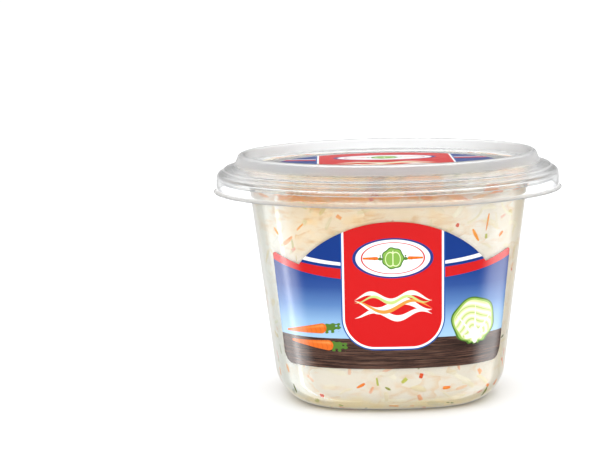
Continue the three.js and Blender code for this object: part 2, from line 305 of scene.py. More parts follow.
class Sheet:
    """A node tree, written as arithmetic on terms."""

    def __init__(
        self, owner: bpy.types.Material | bpy.types.World, shader: str = "Principled BSDF"
    ) -> None:
        """Takes over the owner's node tree and the shader in it that the sheet feeds.

        Args:
            owner: The material or the world.
            shader: The shader's name.
        """
        owner.use_nodes = True
        self.owner = owner
        self.tree = owner.node_tree
        self.shader = self.tree.nodes[shader]

    @classmethod
    def material(cls, name: str) -> "Sheet":
        """The sheet of a new material with one Principled shader."""
        return cls(bpy.data.materials.new(name))

    def feed(self, target: Socket, source: "Number | Colour") -> None:
        """Gives an input its source: a term, a socket, or a plain setting.

        Args:
            target: The input.
            source: What it takes.
        """
        if isinstance(source, Term):
            source = source.socket
        if isinstance(source, Socket):
            self.tree.links.new(source, target)
        else:
            target.default_value = source

    def node(self, kind: str, *sources: "Number | Colour", **settings: object) -> bpy.types.Node:
        """Adds a shader node.

        Args:
            kind: Its kind, without the prefix of all shader nodes.
            sources: What its first inputs take, in order.
            settings: Its settings, and by a name with a capital and _ for a space, further inputs.

        Returns:
            The node.
        """
        made = self.tree.nodes.new("ShaderNode" + kind)
        inputs = {key: settings.pop(key) for key in list(settings) if key[0].isupper()}
        for key, setting in settings.items():
            setattr(made, key, setting)
        for target, source in zip(made.inputs, sources):
            self.feed(target, source)
        self.fill(made, **inputs)
        return made

    def fill(self, node: bpy.types.Node, **sources: "Number | Colour") -> None:
        """Feeds a node's inputs, named with _ for a space."""
        for key, source in sources.items():
            self.feed(node.inputs[key.replace("_", " ")], source)

    def set(self, **sources: "Number | Colour") -> None:
        """Feeds the shader's inputs, named with _ for a space."""
        self.fill(self.shader, **sources)

    def bump(self, height: Number, depth: float) -> None:
        """Raises the surface by height times depth, in metres."""
        self.set(Normal=self.node("Bump", Height=height, Distance=depth).outputs["Normal"])

    def math(self, operation: str, *sources: Number) -> Term:
        """The result of one Math node."""
        return Term(self, self.node("Math", *sources, operation=operation).outputs[0])

    def layers(self, under: Colour, *covers: tuple[Number, Colour]) -> Socket:
        """The colour under, covered by one colour after another, each as far as its share says.

        Args:
            under: The lowest colour.
            covers: The share and the colour of each cover, from the lowest up.

        Returns:
            The colour that they make.
        """
        for share, over in covers:
            made = self.node("Mix", share, data_type="RGBA")
            self.feed(made.inputs[6], under)
            self.feed(made.inputs[7], over)
            under = made.outputs[2]
        return under

    def ramp(self, share: Number, stops: tuple[tuple[float, Rgba], ...]) -> Socket:
        """A colour that passes smoothly through the stops as share goes from 0 to 1.

        Args:
            share: How far along the ramp.
            stops: The place and the colour of each stop.

        Returns:
            The colour there.
        """
        made = self.node("ValToRGB", share)
        marks = made.color_ramp.elements
        while len(marks) < len(stops):
            marks.new(0.5)
        for mark, (at, colour) in zip(marks, stops):
            mark.position, mark.color = at, colour
        return made.outputs[0]

    def place(self, scale: Triple = (1.0, 1.0, 1.0)) -> Socket:
        """Where a point lies on the piece, in metres times scale."""
        return self.node("Mapping", self.node("TexCoord").outputs["Object"], Scale=scale).outputs[0]

    def split(self, point: Socket) -> tuple[Term, ...]:
        """The three measures of a point."""
        return tuple(Term(self, output) for output in self.node("SeparateXYZ", point).outputs)

    def axes(self) -> tuple[Term, ...]:
        """Where a point lies across the piece, ahead and up, in metres."""
        return self.split(self.place())

    def chart(self) -> tuple[Term, Term]:
        """The two chart measures of a point, in millimetres."""
        along, across, _ = self.split(self.node("UVMap", uv_map=CHART).outputs["UV"])
        return (along - CHART_MIDDLE) * CHART_SPAN, across * CHART_SPAN

    def flat(self, along: Number, across: Number) -> Socket:
        """Two numbers as a point in a plane, for a texture to read."""
        return self.node("CombineXYZ", along, across).outputs[0]

    def value(self, name: str) -> Term:
        """The numbers that the mesh carries under this name."""
        return Term(self, self.node("Attribute", attribute_name=name).outputs["Fac"])

    def noise(
        self, scale: float, detail: float = 3.0, rough: float = 0.5, at: Socket | None = None
    ) -> Term:
        """Cloudy noise around 0.5.

        Args:
            scale: Clouds in one unit of length.
            detail: Octaves of finer cloud.
            rough: How strong the finer clouds are.
            at: The point that it reads, if not the place on the piece.

        Returns:
            The noise.
        """
        made = self.node("TexNoise", at or self.place(), Scale=scale, Detail=detail, Roughness=rough)
        return Term(self, made.outputs["Fac"])

    def cells(self, place: Socket, scale: float, warp: float) -> tuple[Term, Term]:
        """Irregular patches that fill space, each with a number of its own.

        Args:
            place: The point that they read.
            scale: Patches in one unit of length.
            warp: How far their outlines stray, in units of length.

        Returns:
            The distance to the nearest outline, in patches, and the patch's number, 0 to 1.
        """
        stray = self.node("TexNoise", place, Scale=scale * 0.8).outputs["Color"]
        moved = self.node("VectorMath", stray, (warp, warp, warp), place, operation="MULTIPLY_ADD")
        edge, patch = (
            self.node("TexVoronoi", moved.outputs[0], Scale=scale, feature=feature).outputs[output]
            for feature, output in (("DISTANCE_TO_EDGE", "Distance"), ("F1", "Color"))
        )
        return Term(self, edge), self.split(patch)[0]

    # Shapes in the plane of a chart, as distances in millimetres that are negative inside.

    def length(self, along: Number, across: Number) -> Term:
        """How far a point of the plane is from its origin."""
        made = self.node("VectorMath", self.flat(along, across), operation="LENGTH")
        return Term(self, made.outputs["Value"])

    def oval(self, u: Term, v: Term, centre: Pair, half: Pair) -> Term:
        """Distance to an oval: (length of the point over the half axes, less 1) times the shorter axis."""
        return (self.length((u - centre[0]) / half[0], (v - centre[1]) / half[1]) - 1.0) * min(half)

    def panel(self, u: Term, v: Term, centre: Pair, half: Pair, rounding: float) -> Term:
        """Distance to a round-cornered rectangle: the corner's length less its rounding.

        Args:
            u: The point's measure along the plane.
            v: The point's measure up the plane.
            centre: The rectangle's centre.
            half: Half its width and half its height.
            rounding: Radius of its corners.

        Returns:
            The distance.
        """
        wide = abs(u - centre[0]) - (half[0] - rounding)
        high = abs(v - centre[1]) - (half[1] - rounding)
        return self.length(wide.most(0.0), high.most(0.0)) + wide.most(high).least(0.0) - rounding


# ---------------------------------------------------------------- finishes


@dataclass(frozen=True)
class ClearPlastic:
    """Clear formed plastic: glossy, with the faint ripples that forming leaves.

    Attributes:
        name: The material's name.
        colour: What light keeps on its way through.
        clear: Share of the light that isn't scattered by its haze.
        ior: How strongly it bends light.
        rough: Blur of its gloss.
        ripple: Depth of the ripples, in millimetres.
        ripple_scale: Ripples in a metre.
        scuff_scale: Scuffs in a metre.
    """

    name: str
    colour: Rgba
    clear: float
    ior: float
    rough: float
    ripple: float
    ripple_scale: float = 60.0
    scuff_scale: float = 840.0

    def material(self) -> bpy.types.Material:
        """Makes the material.

        Returns:
            The material.
        """
        sheet = Sheet.material(self.name)
        colour, blur = self.look(sheet)
        sheet.bump(sheet.noise(self.ripple_scale, 1.0), self.ripple * MM)
        sheet.set(Base_Color=colour, Transmission_Weight=self.clear, IOR=self.ior, Roughness=blur)
        return sheet.owner

    def look(self, sheet: Sheet) -> tuple[Colour, Term]:
        """Its colour, and its blur: a little more where it is scuffed."""
        scuff = sheet.noise(self.scuff_scale, 4.0, 0.6, sheet.place((1.0, 1.0, 0.3)))
        return self.colour, scuff.span(0.45, 0.8) * self.rough + self.rough


@dataclass(frozen=True)
class FrostedPlastic(ClearPlastic):
    """Clear plastic with frost outside a radius: lightly on the deck, and more on ring and lip. Deck and
    ring are tinted grey, as painted shade.

    Attributes:
        deck_tint_and_painted_shade: A grey tint, painted shade: what light keeps on its way through the
            deck and ring where the frost lies.
        blurs: Blur of the deck's frost, of the ring's besides, and of the lip's.
        inner: Radii between which the frost comes in.
        lip: Heights between which the lip's frost comes in, downwards.
        deck: Heights between which the deck's frost comes in.
        ring: Heights between which the ring's frost comes in.
        grain_scale: Grains of the frost in a metre.
    """

    # A grey tint on the deck and ring: painted shade.
    deck_tint_and_painted_shade: Rgba = (0.955, 0.96, 0.96, 1.0)
    blurs: Triple = (0.19, 0.14, 0.5)
    inner: Pair = (0.0438, 0.0446)
    lip: Pair = (0.0668, 0.0662)
    deck: Pair = (0.0698, 0.0708)
    ring: Pair = (0.0735, 0.0750)
    grain_scale: float = 500.0

    def look(self, sheet: Sheet) -> tuple[Colour, Term]:
        """Its colour, and its blur where the frost lies.

        Args:
            sheet: The material's node sheet.

        Returns:
            The colour and the blur.
        """
        across, ahead, height = sheet.axes()
        outside = sheet.length(across, ahead).span(*self.inner)
        deck, ring, lip = (outside * height.span(*band) for band in (self.deck, self.ring, self.lip))
        on_deck, on_ring, on_lip = self.blurs
        blur = deck * on_deck + lip * on_lip + ring * on_ring
        grain = sheet.noise(self.grain_scale)
        return (
            # Painted shade: the deck and ring are tinted grey.
            sheet.layers(self.colour, (deck, self.deck_tint_and_painted_shade)),
            blur * (grain * 0.3 + 0.85) + self.rough,
        )


@dataclass(frozen=True)
class Dressing:
    """The creamy dressing: uneven, tan and orange under the lid on one side, and yellower and lighter round
    the base, where it gathers and where light is painted over the fillet's shade.

    Bands are the heights or the places across the tub between which a colour comes in.

    Attributes:
        pale: Its colour where it lies thick.
        deep: Its colour where the salad shows through, and the darker colour towards the bottom.
        painted_wash: A pale greenish painted wash: painted reflection and blur of the left side seen
            through the plastic at a slant.
        tan: Its colour where juice has seeped in, over the label.
        edge: Its colour where the cut edges of pressed leaves show through.
        orange: Its colour where carrot has stained it, under the lid.
        pool_and_painted_light: Its colour round the base, where it gathers, made light there as painted
            light over the fillet's shade.
        warm: Its colour against the right side.
        stain: Where across the tub the stains start and are full.
        rim: Squares of the distance from the axis, as a rounded square has it, between which they start.
        painted_wash_band: Where across the tub, at its foot, the painted wash starts and is full.
        painted_wash_lean: How far to the left these two places move with the height.
        painted_wash_reach: Where behind the front it fades out and is full.
    """

    pale: Rgba = tint(250, 248, 243)
    deep: Rgba = tint(238, 231, 216)
    # Painted wash: a pale greenish colour that stands for the reflection and blur of the left side seen
    # through the plastic at a slant.
    painted_wash: Rgba = tint(242, 245, 240)
    tan: Rgba = tint(252, 225, 178)
    edge: Rgba = tint(226, 180, 108)
    orange: Rgba = tint(255, 164, 30)
    # Yellow of gathered dressing, and painted light: made light to lift the shade on the fillet round the
    # base.
    pool_and_painted_light: Rgba = tint(253, 232, 166)
    warm: Rgba = tint(243, 228, 198)
    tan_band: Pair = (0.046, 0.057)
    orange_band: Pair = (0.0646, 0.0664)
    stain: Pair = (0.026, 0.004)
    rim: Pair = (0.0013, 0.00168)
    # Heights between which the dressing gets darker towards the bottom.
    deep_band: Pair = (0.052, 0.020)
    # Where the painted wash of the left side lies.
    painted_wash_band: Pair = (-0.0222, -0.0268)
    painted_wash_lean: float = 0.11
    painted_wash_reach: Pair = (0.003, -0.014)
    pool_and_painted_light_band: Pair = (0.0056, 0.0018)
    warm_band: Pair = (0.031, 0.039)

    def left(self, across: Term, ahead: Term, height: Term) -> Term:
        """How far a point is in the stretch at the left that the painted wash covers: painted reflection
        and blur.
        """
        return (across + height * self.painted_wash_lean).span(*self.painted_wash_band) * ahead.span(*self.painted_wash_reach)

    def colour(self, sheet: Sheet) -> Socket:
        """The dressing's colour at a point of the heap, laid on in layers.

        Args:
            sheet: The material's node sheet.

        Returns:
            The colour.
        """
        across, ahead, height = sheet.axes()
        clouds = sheet.noise(110.0, 4.0, 0.6)
        streaks = sheet.noise(330.0, 3.0, 0.55, sheet.place((0.4, 0.4, 1.5)))
        blots = sheet.noise(190.0, 2.0, 0.5, sheet.place((0.8, 0.8, 1.3)))
        patches = sheet.noise(90.0, 2.0, 0.5, sheet.place((1.0, 1.0, 0.6)))
        outline, leaf = sheet.cells(sheet.place((0.75, 0.75, 1.25)), 170.0, 0.006)
        side = (across + (clouds - 0.5) * 0.03).span(*self.stain)
        seep = height.span(*self.tan_band) * side
        near_wall = sheet.length(across * across, ahead * ahead).span(*self.rim)
        stain = (height + (blots - 0.5) * 0.006).span(*self.orange_band) * near_wall * (side * 0.8 + 0.2)
        # Painted reflection and blur on the left side: a pale greenish wash, with less of the salad's
        # detail showing.
        left = self.left(across, ahead, height)
        clear = 1.0 - left * 0.6
        shown = clouds.span(0.47, 0.56) * leaf.span(0.3, 0.6) * clear
        # Painted light round the base: the gathered dressing's yellow, made light to lift the fillet's
        # shade.
        low = (height + (clouds - 0.5) * 0.006).span(*self.pool_and_painted_light_band)
        return sheet.layers(
            self.deep,
            ((clouds * 0.6 + streaks * 0.4).span(0.36, 0.62), self.pale),
            # Darker towards the bottom.
            (height.span(*self.deep_band) * 0.85, self.deep),
            (leaf.span(0.55, 1.0) * 0.45, self.deep),
            (across.span(*self.warm_band) * 0.5, self.warm),
            (seep * (blots.span(0.42, 0.66) * 0.5 + 0.5), self.tan),
            (stain * (patches + side * 0.1).span(0.36, 0.52), self.orange),
            # The painted wash of the left side.
            (left * 0.8, self.painted_wash),
            (streaks.span(0.54, 0.7) * clear * (seep * 0.3 + 0.3), self.edge),
            (outline.span(0.2, 0.0) * shown * (seep * 0.25 + 0.4), self.edge),
            # Gathered dressing round the base, with painted light over the fillet's shade.
            (low * (streaks.span(0.3, 0.62) * 0.35 + 0.6), self.pool_and_painted_light),
        )


@dataclass(frozen=True)
class ShredFinish:
    """A cut vegetable with fibres along it, under more or less dressing.

    Attributes:
        name: The material's name.
        light: Its lighter colour.
        dark: Its darker colour.
        fibre: Its colour along the fibres.
        rough: Blur of its wet gloss.
        ior: How strongly its wet skin bends light.
        depth: Depth of its fibres, in millimetres.
    """

    name: str
    light: Rgba
    dark: Rgba
    fibre: Rgba
    rough: float = 0.35
    ior: float = 1.38
    depth: float = 0.12

    def material(self, dressing: Dressing) -> bpy.types.Material:
        """Makes the material, veiled by the dressing as the pieces' own numbers say.

        Args:
            dressing: What veils it.

        Returns:
            The material.
        """
        sheet = Sheet.material(self.name)
        along, around = sheet.chart()
        threads = sheet.noise(1.0, 3.0, 0.6, sheet.flat(along * 0.35, around * 0.9))
        smear = sheet.noise(420.0, 3.0, 0.6)
        # The painted wash of the left side also hides the shreds there under dressing colour.
        veil = sheet.value(VEIL) + (smear - 0.5) * 0.55 + dressing.left(*sheet.axes()) * 0.35
        sheet.set(
            Base_Color=sheet.layers(
                self.dark,
                (sheet.value(SHADE), self.light),
                (threads.span(0.5, 0.75) * 0.55, self.fibre),
                (veil.span(0.0, 1.0), dressing.colour(sheet)),
            ),
            Roughness=smear.span(0.3, 0.8) * 0.2 + self.rough,
            IOR=self.ior,
        )
        sheet.bump(threads * 0.6 + smear * 0.4, self.depth * MM)
        return sheet.owner


CABBAGE = ShredFinish("cabbage", tint(252, 247, 226), tint(218, 200, 128), tint(250, 248, 236))
CARROT = ShredFinish("carrot", tint(252, 178, 66), tint(240, 122, 18), tint(252, 200, 110))
GREENS = ShredFinish("greens", tint(206, 208, 92), tint(46, 70, 22), tint(140, 160, 70))
PEPPER = ShredFinish("red_pepper", tint(238, 98, 26), tint(212, 48, 12), tint(242, 136, 66))


# Half the height of the plaque and half the length of the bundle at the size that they are drawn at.
DRAWN_PLAQUE = 5.3
DRAWN_BUNDLE = 11.6


@dataclass(frozen=True)
class Print:
    """Ink on film: a sky that fades down to a table top, a banner and a few plain shapes.

    Lengths are millimetres on the label, from the chart.

    Attributes:
        name: The material's name.
        table_top: Height of the table's far edge.
        seams: How far under that edge the seams between the planks lie.
        sky: Heights of the palest and of the deepest blue.
        banner_half: Half the banner's width.
        banner_low: Lowest point of the banner.
        banner_high: Height above which the banner runs off the label.
        banner_round: Rounding of its lower corners.
        ribbon_at: Height of the ribbons at the middle line.
        ribbon_rise: How much they climb with the square of the distance from the middle line.
        plaque: Centre height and half sizes of the white oval on the banner.
        strands: Centre height and half length of the bundle of strands on the banner.
        cabbage: Centre and radius of the cabbage on the table.
        carrots: Tip and lean of each carrot on the table.
        carrot_long: Length of those carrots.
        rough: Blur of its gloss.
        gloss: Strength of its gloss.
        tone: How much the ink is darkened.
        relief: Depth of its dots, in millimetres.
    """

    name: str
    table_top: float = 24.2
    seams: Pair = (2.9, 6.8)
    sky: Pair = (25.0, 46.0)
    banner_half: float = 14.6
    banner_low: float = 21.6
    banner_high: float = 90.0
    banner_round: float = 9.0
    ribbon_at: float = 45.4
    ribbon_rise: float = 0.0034
    plaque: Triple = (49.0, 10.4, 5.3)
    strands: Pair = (34.4, 11.6)
    cabbage: Triple = (25.4, 28.6, 7.4)
    carrots: tuple[Triple, ...] = ((-35.0, 25.6, 0.12), (-33.0, 22.6, -0.05))
    carrot_long: float = 14.0
    rough: float = 0.17
    gloss: float = 1.0
    tone: float = 0.2
    relief: float = 0.006

    def material(self) -> bpy.types.Material:
        """Draws the print and makes the material.

        Returns:
            The material.
        """
        sheet = Sheet.material(self.name)
        u, v = sheet.chart()
        colour = self.sky_blue(sheet, v)
        behind = (self.table, self.ribbons, self.cut_cabbage, self.two_carrots)
        for part in (*behind, self.banner, self.emblem, self.bundle):
            colour = part(sheet, u, v, colour)
        dots = sheet.noise(9.0, 1.0, at=sheet.flat(u, v))
        sheet.set(
            Base_Color=sheet.layers(colour, (self.tone, tint(0, 0, 0))),
            Roughness=dots.span(0.3, 0.7) * 0.05 + self.rough,
            IOR=1.5,
            Specular_IOR_Level=self.gloss,
        )
        sheet.bump(dots, self.relief * MM)
        return sheet.owner

    def sky_blue(self, sheet: Sheet, v: Term) -> Socket:
        """The blue that fades downwards.

        Args:
            sheet: The material's node sheet.
            v: The chart measure up the label.

        Returns:
            The colour.
        """
        return sheet.ramp(v.span(*self.sky), (
            (0.0, tint(158, 196, 227)),
            (0.22, tint(136, 176, 216)),
            (0.45, tint(88, 128, 184)),
            (0.72, tint(42, 78, 148)),
            (1.0, tint(4, 52, 131)),
        ))

    def table(self, sheet: Sheet, u: Term, v: Term, under: Colour) -> Socket:
        """The table top: dark planks with a grain along them.

        Args:
            sheet: The material's node sheet.
            u: The chart measure along the label.
            v: The chart measure up the label.
            under: What it lies on.

        Returns:
            The colour with the table on it.
        """
        grain = sheet.noise(1.0, 5.0, 0.65, sheet.flat(u * 0.09, v * 1.9))
        wood = sheet.ramp(grain.span(0.3, 0.7), (
            (0.0, tint(44, 28, 24)),
            (0.45, tint(70, 48, 40)),
            (0.75, tint(96, 70, 58)),
            (1.0, tint(124, 98, 82)),
        ))
        for seam in self.seams:
            line = (abs(v - (self.table_top - seam)) - 0.14).ink(0.2)
            wood = sheet.layers(wood, (line * 0.75, tint(26, 17, 15)))
        return sheet.layers(under, ((v - self.table_top).ink(), wood))

    def ribbons(self, sheet: Sheet, u: Term, v: Term, under: Colour) -> Socket:
        """A white ribbon over a red one, both rising towards the sides.

        Args:
            sheet: The material's node sheet.
            u: The chart measure along the label.
            v: The chart measure up the label.
            under: What it lies on.

        Returns:
            The colour with the ribbons on it.
        """
        above = v - (u * u * self.ribbon_rise + self.ribbon_at)
        taper = abs(u) * 0.012
        return sheet.layers(
            under,
            ((abs(above - 1.1) - (taper + 0.3)).ink(), tint(244, 244, 244)),
            ((abs(above + 1.9) - (1.75 - taper)).ink(), tint(202, 12, 15)),
        )

    def cut_cabbage(self, sheet: Sheet, u: Term, v: Term, under: Colour) -> Socket:
        """Half a cabbage with its cut face in view: leaves round a heart, and ribs that fan out from it.

        Args:
            sheet: The material's node sheet.
            u: The chart measure along the label.
            v: The chart measure up the label.
            under: What it lies on.

        Returns:
            The colour with the cabbage on it.
        """
        at_u, at_v, radius = self.cabbage
        across, above_root = u - at_u, v - (at_v - radius * 0.72)
        root = sheet.length(across, above_root)
        turn = sheet.math("ARCTAN2", across, above_root)
        edge = sheet.length(across * 0.94, v - at_v) + (turn * 9.0).wave() * 0.22 - radius
        folds = ((root + (turn * 5.0).wave() * 0.5) * 3.1).wave()
        ribs = abs((turn * 4.5).wave()) * root * 0.32 - (radius * 1.5 - root).span(0.0, 12.0) * 0.9
        shade = sheet.oval(u, v, (at_u, at_v - radius), (radius * 1.25, 1.3))
        heart = sheet.oval(u, v, (at_u, at_v - radius * 0.62), (radius * 0.17, radius * 0.36))
        face = (edge + 1.2).ink()
        return sheet.layers(
            under,
            (shade.ink(1.4) * 0.6, tint(24, 17, 15)),
            (edge.ink(), tint(74, 116, 40)),
            ((edge + 0.45).ink(), tint(150, 186, 86)),
            ((edge + 1.0).ink(), tint(222, 228, 168)),
            (face * folds.span(0.0, 0.7), tint(244, 243, 220)),
            (face * folds.span(-0.75, -0.95), tint(176, 200, 112)),
            ((edge + 1.6).ink() * ribs.ink(0.1), tint(248, 246, 230)),
            (heart.ink(), tint(246, 243, 224)),
        )

    def two_carrots(self, sheet: Sheet, u: Term, v: Term, under: Colour) -> Socket:
        """The carrots on the table.

        Args:
            sheet: The material's node sheet.
            u: The chart measure along the label.
            v: The chart measure up the label.
            under: What it lies on.

        Returns:
            The colour with the carrots on it.
        """
        for tip_u, tip_v, lean in self.carrots:
            beside = v - tip_v - (u - tip_u) * lean
            under = self.carrot(sheet, u - tip_u, beside, self.carrot_long, under)
        return under

    def carrot(self, sheet: Sheet, along: Term, across: Term, long: float, under: Colour) -> Socket:
        """A carrot that starts at its tip and widens along its length, with a tuft of green.

        Args:
            sheet: The material's node sheet.
            along: Distance from the tip, along the carrot.
            across: Distance to the side.
            long: The carrot's length.
            under: What it lies on.

        Returns:
            The colour with the carrot on it.
        """
        wide = long * 0.12
        body = sheet.length((along - long * 0.93).most(0.0), across)
        body = (body - (along.span(0.0, long) * (wide - 0.3) + 0.3)).most(along * -1.0)
        leaves = sheet.length((along - long * 1.12) * 0.42, across) - wide * 0.8
        fringe = leaves + ((along * 3.3).wave() + (across * 5.0).wave()) * 0.3
        rings = (along * 4.1 + (across * 2.0).wave()).wave().span(0.6, 0.95) * 0.4
        return sheet.layers(
            under,
            (fringe.ink(), tint(82, 124, 44)),
            (body.ink(), tint(226, 108, 26)),
            (body.ink() * rings, tint(190, 78, 16)),
            ((body + 0.5).ink(0.5) * across.span(0.1, wide * 0.6) * 0.7, tint(246, 168, 88)),
        )

    def banner(self, sheet: Sheet, u: Term, v: Term, under: Colour) -> Socket:
        """A red banner with a round foot and a white and blue edge.

        Args:
            sheet: The material's node sheet.
            u: The chart measure along the label.
            v: The chart measure up the label.
            under: What it lies on.

        Returns:
            The colour with the banner on it.
        """
        middle = (self.banner_low + self.banner_high) / 2
        tall = (self.banner_high - self.banner_low) / 2
        edge = sheet.panel(u, v, (0.0, middle), (self.banner_half, tall), self.banner_round)
        return sheet.layers(
            under,
            ((edge - 1.0).ink(), tint(24, 84, 160)),
            ((edge - 0.6).ink(), tint(248, 248, 248)),
            (edge.ink(), tint(206, 7, 9)),
        )

    def emblem(self, sheet: Sheet, u: Term, v: Term, under: Colour) -> Socket:
        """The white oval plaque on the banner, with a round cabbage between two carrots.

        Args:
            sheet: The material's node sheet.
            u: The chart measure along the label.
            v: The chart measure up the label.
            under: What it lies on.

        Returns:
            The colour with the plaque on it.
        """
        at, wide, high = self.plaque
        size = high / DRAWN_PLAQUE
        oval = sheet.oval(u, v, (0.0, at), (wide, high))
        beside, above = abs(u), v - at
        plate = sheet.layers(
            under,
            ((oval - 0.85 * size).ink(), tint(34, 54, 132)),
            ((oval - 0.35 * size).ink(), tint(250, 250, 250)),
            ((abs(oval + 0.55 * size) - 0.12).ink(), tint(204, 48, 48)),
        )
        turn = sheet.math("ARCTAN2", u, above)
        head = sheet.length(u, above) + (turn * 7.0).wave() * (0.14 * size) - 3.3 * size
        leaf = sheet.length(beside * 1.5 - 1.2 * size, above + 0.3 * size) - 2.1 * size
        rib = (beside - 0.15 * size).most(abs(above) - 2.3 * size)
        return sheet.layers(
            self.carrot(sheet, wide * 0.86 - beside, above, wide * 0.42, plate),
            (head.ink(), tint(70, 120, 42)),
            ((head + 0.35 * size).ink(), tint(132, 178, 74)),
            ((abs(leaf) - 0.16 * size).ink() * head.ink(), tint(226, 238, 182)),
            (rib.ink(), tint(226, 238, 182)),
        )

    def bundle(self, sheet: Sheet, u: Term, v: Term, under: Colour) -> Socket:
        """A bundle of wavy strands on the banner, each with a lift, swing, bend, start and thickness.

        Args:
            sheet: The material's node sheet.
            u: The chart measure along the label.
            v: The chart measure up the label.
            under: What it lies on.

        Returns:
            The colour with the strands on it.
        """
        at, reach = self.strands
        size = reach / DRAWN_BUNDLE
        for lift, swing, bend, start, thick, ink in (
            (0.0, 1.5, 0.42, 0.3, 1.25, tint(246, 246, 240)),
            (2.6, -1.3, 0.5, 1.9, 0.95, tint(246, 244, 232)),
            (-2.7, 1.2, 0.47, 4.1, 0.95, tint(246, 246, 240)),
            (-0.2, -1.7, 0.36, 2.6, 0.6, tint(242, 150, 60)),
            (1.9, 1.0, 0.62, 5.2, 0.5, tint(196, 214, 126)),
        ):
            centre = (u * (bend / size) + start).wave() * (swing * size) + (at + lift * size)
            slim = (u * u * (-1.0 / reach**2) + 1.0) * (thick * size)
            under = sheet.layers(under, ((abs(v - centre) - slim).ink() * (abs(u) - reach).ink(), ink))
        return under


LID_PRINT = Print(
    "lid_print",
    table_top=15.5,
    sky=(17.5, 46.0),
    banner_half=21.5,
    banner_low=18.5,
    banner_round=13.0,
    ribbon_at=53.0,
    ribbon_rise=0.0016,
    plaque=(57.5, 14.5, 7.2),
    strands=(37.5, 16.0),
    cabbage=(20.5, 18.0, 7.6),
    carrots=((-28.0, 15.6, 0.1), (-24.5, 11.4, -0.04)),
    rough=0.38,
    gloss=0.12,
    tone=0.36,
)


# ---------------------------------------------------------------- tub and lid


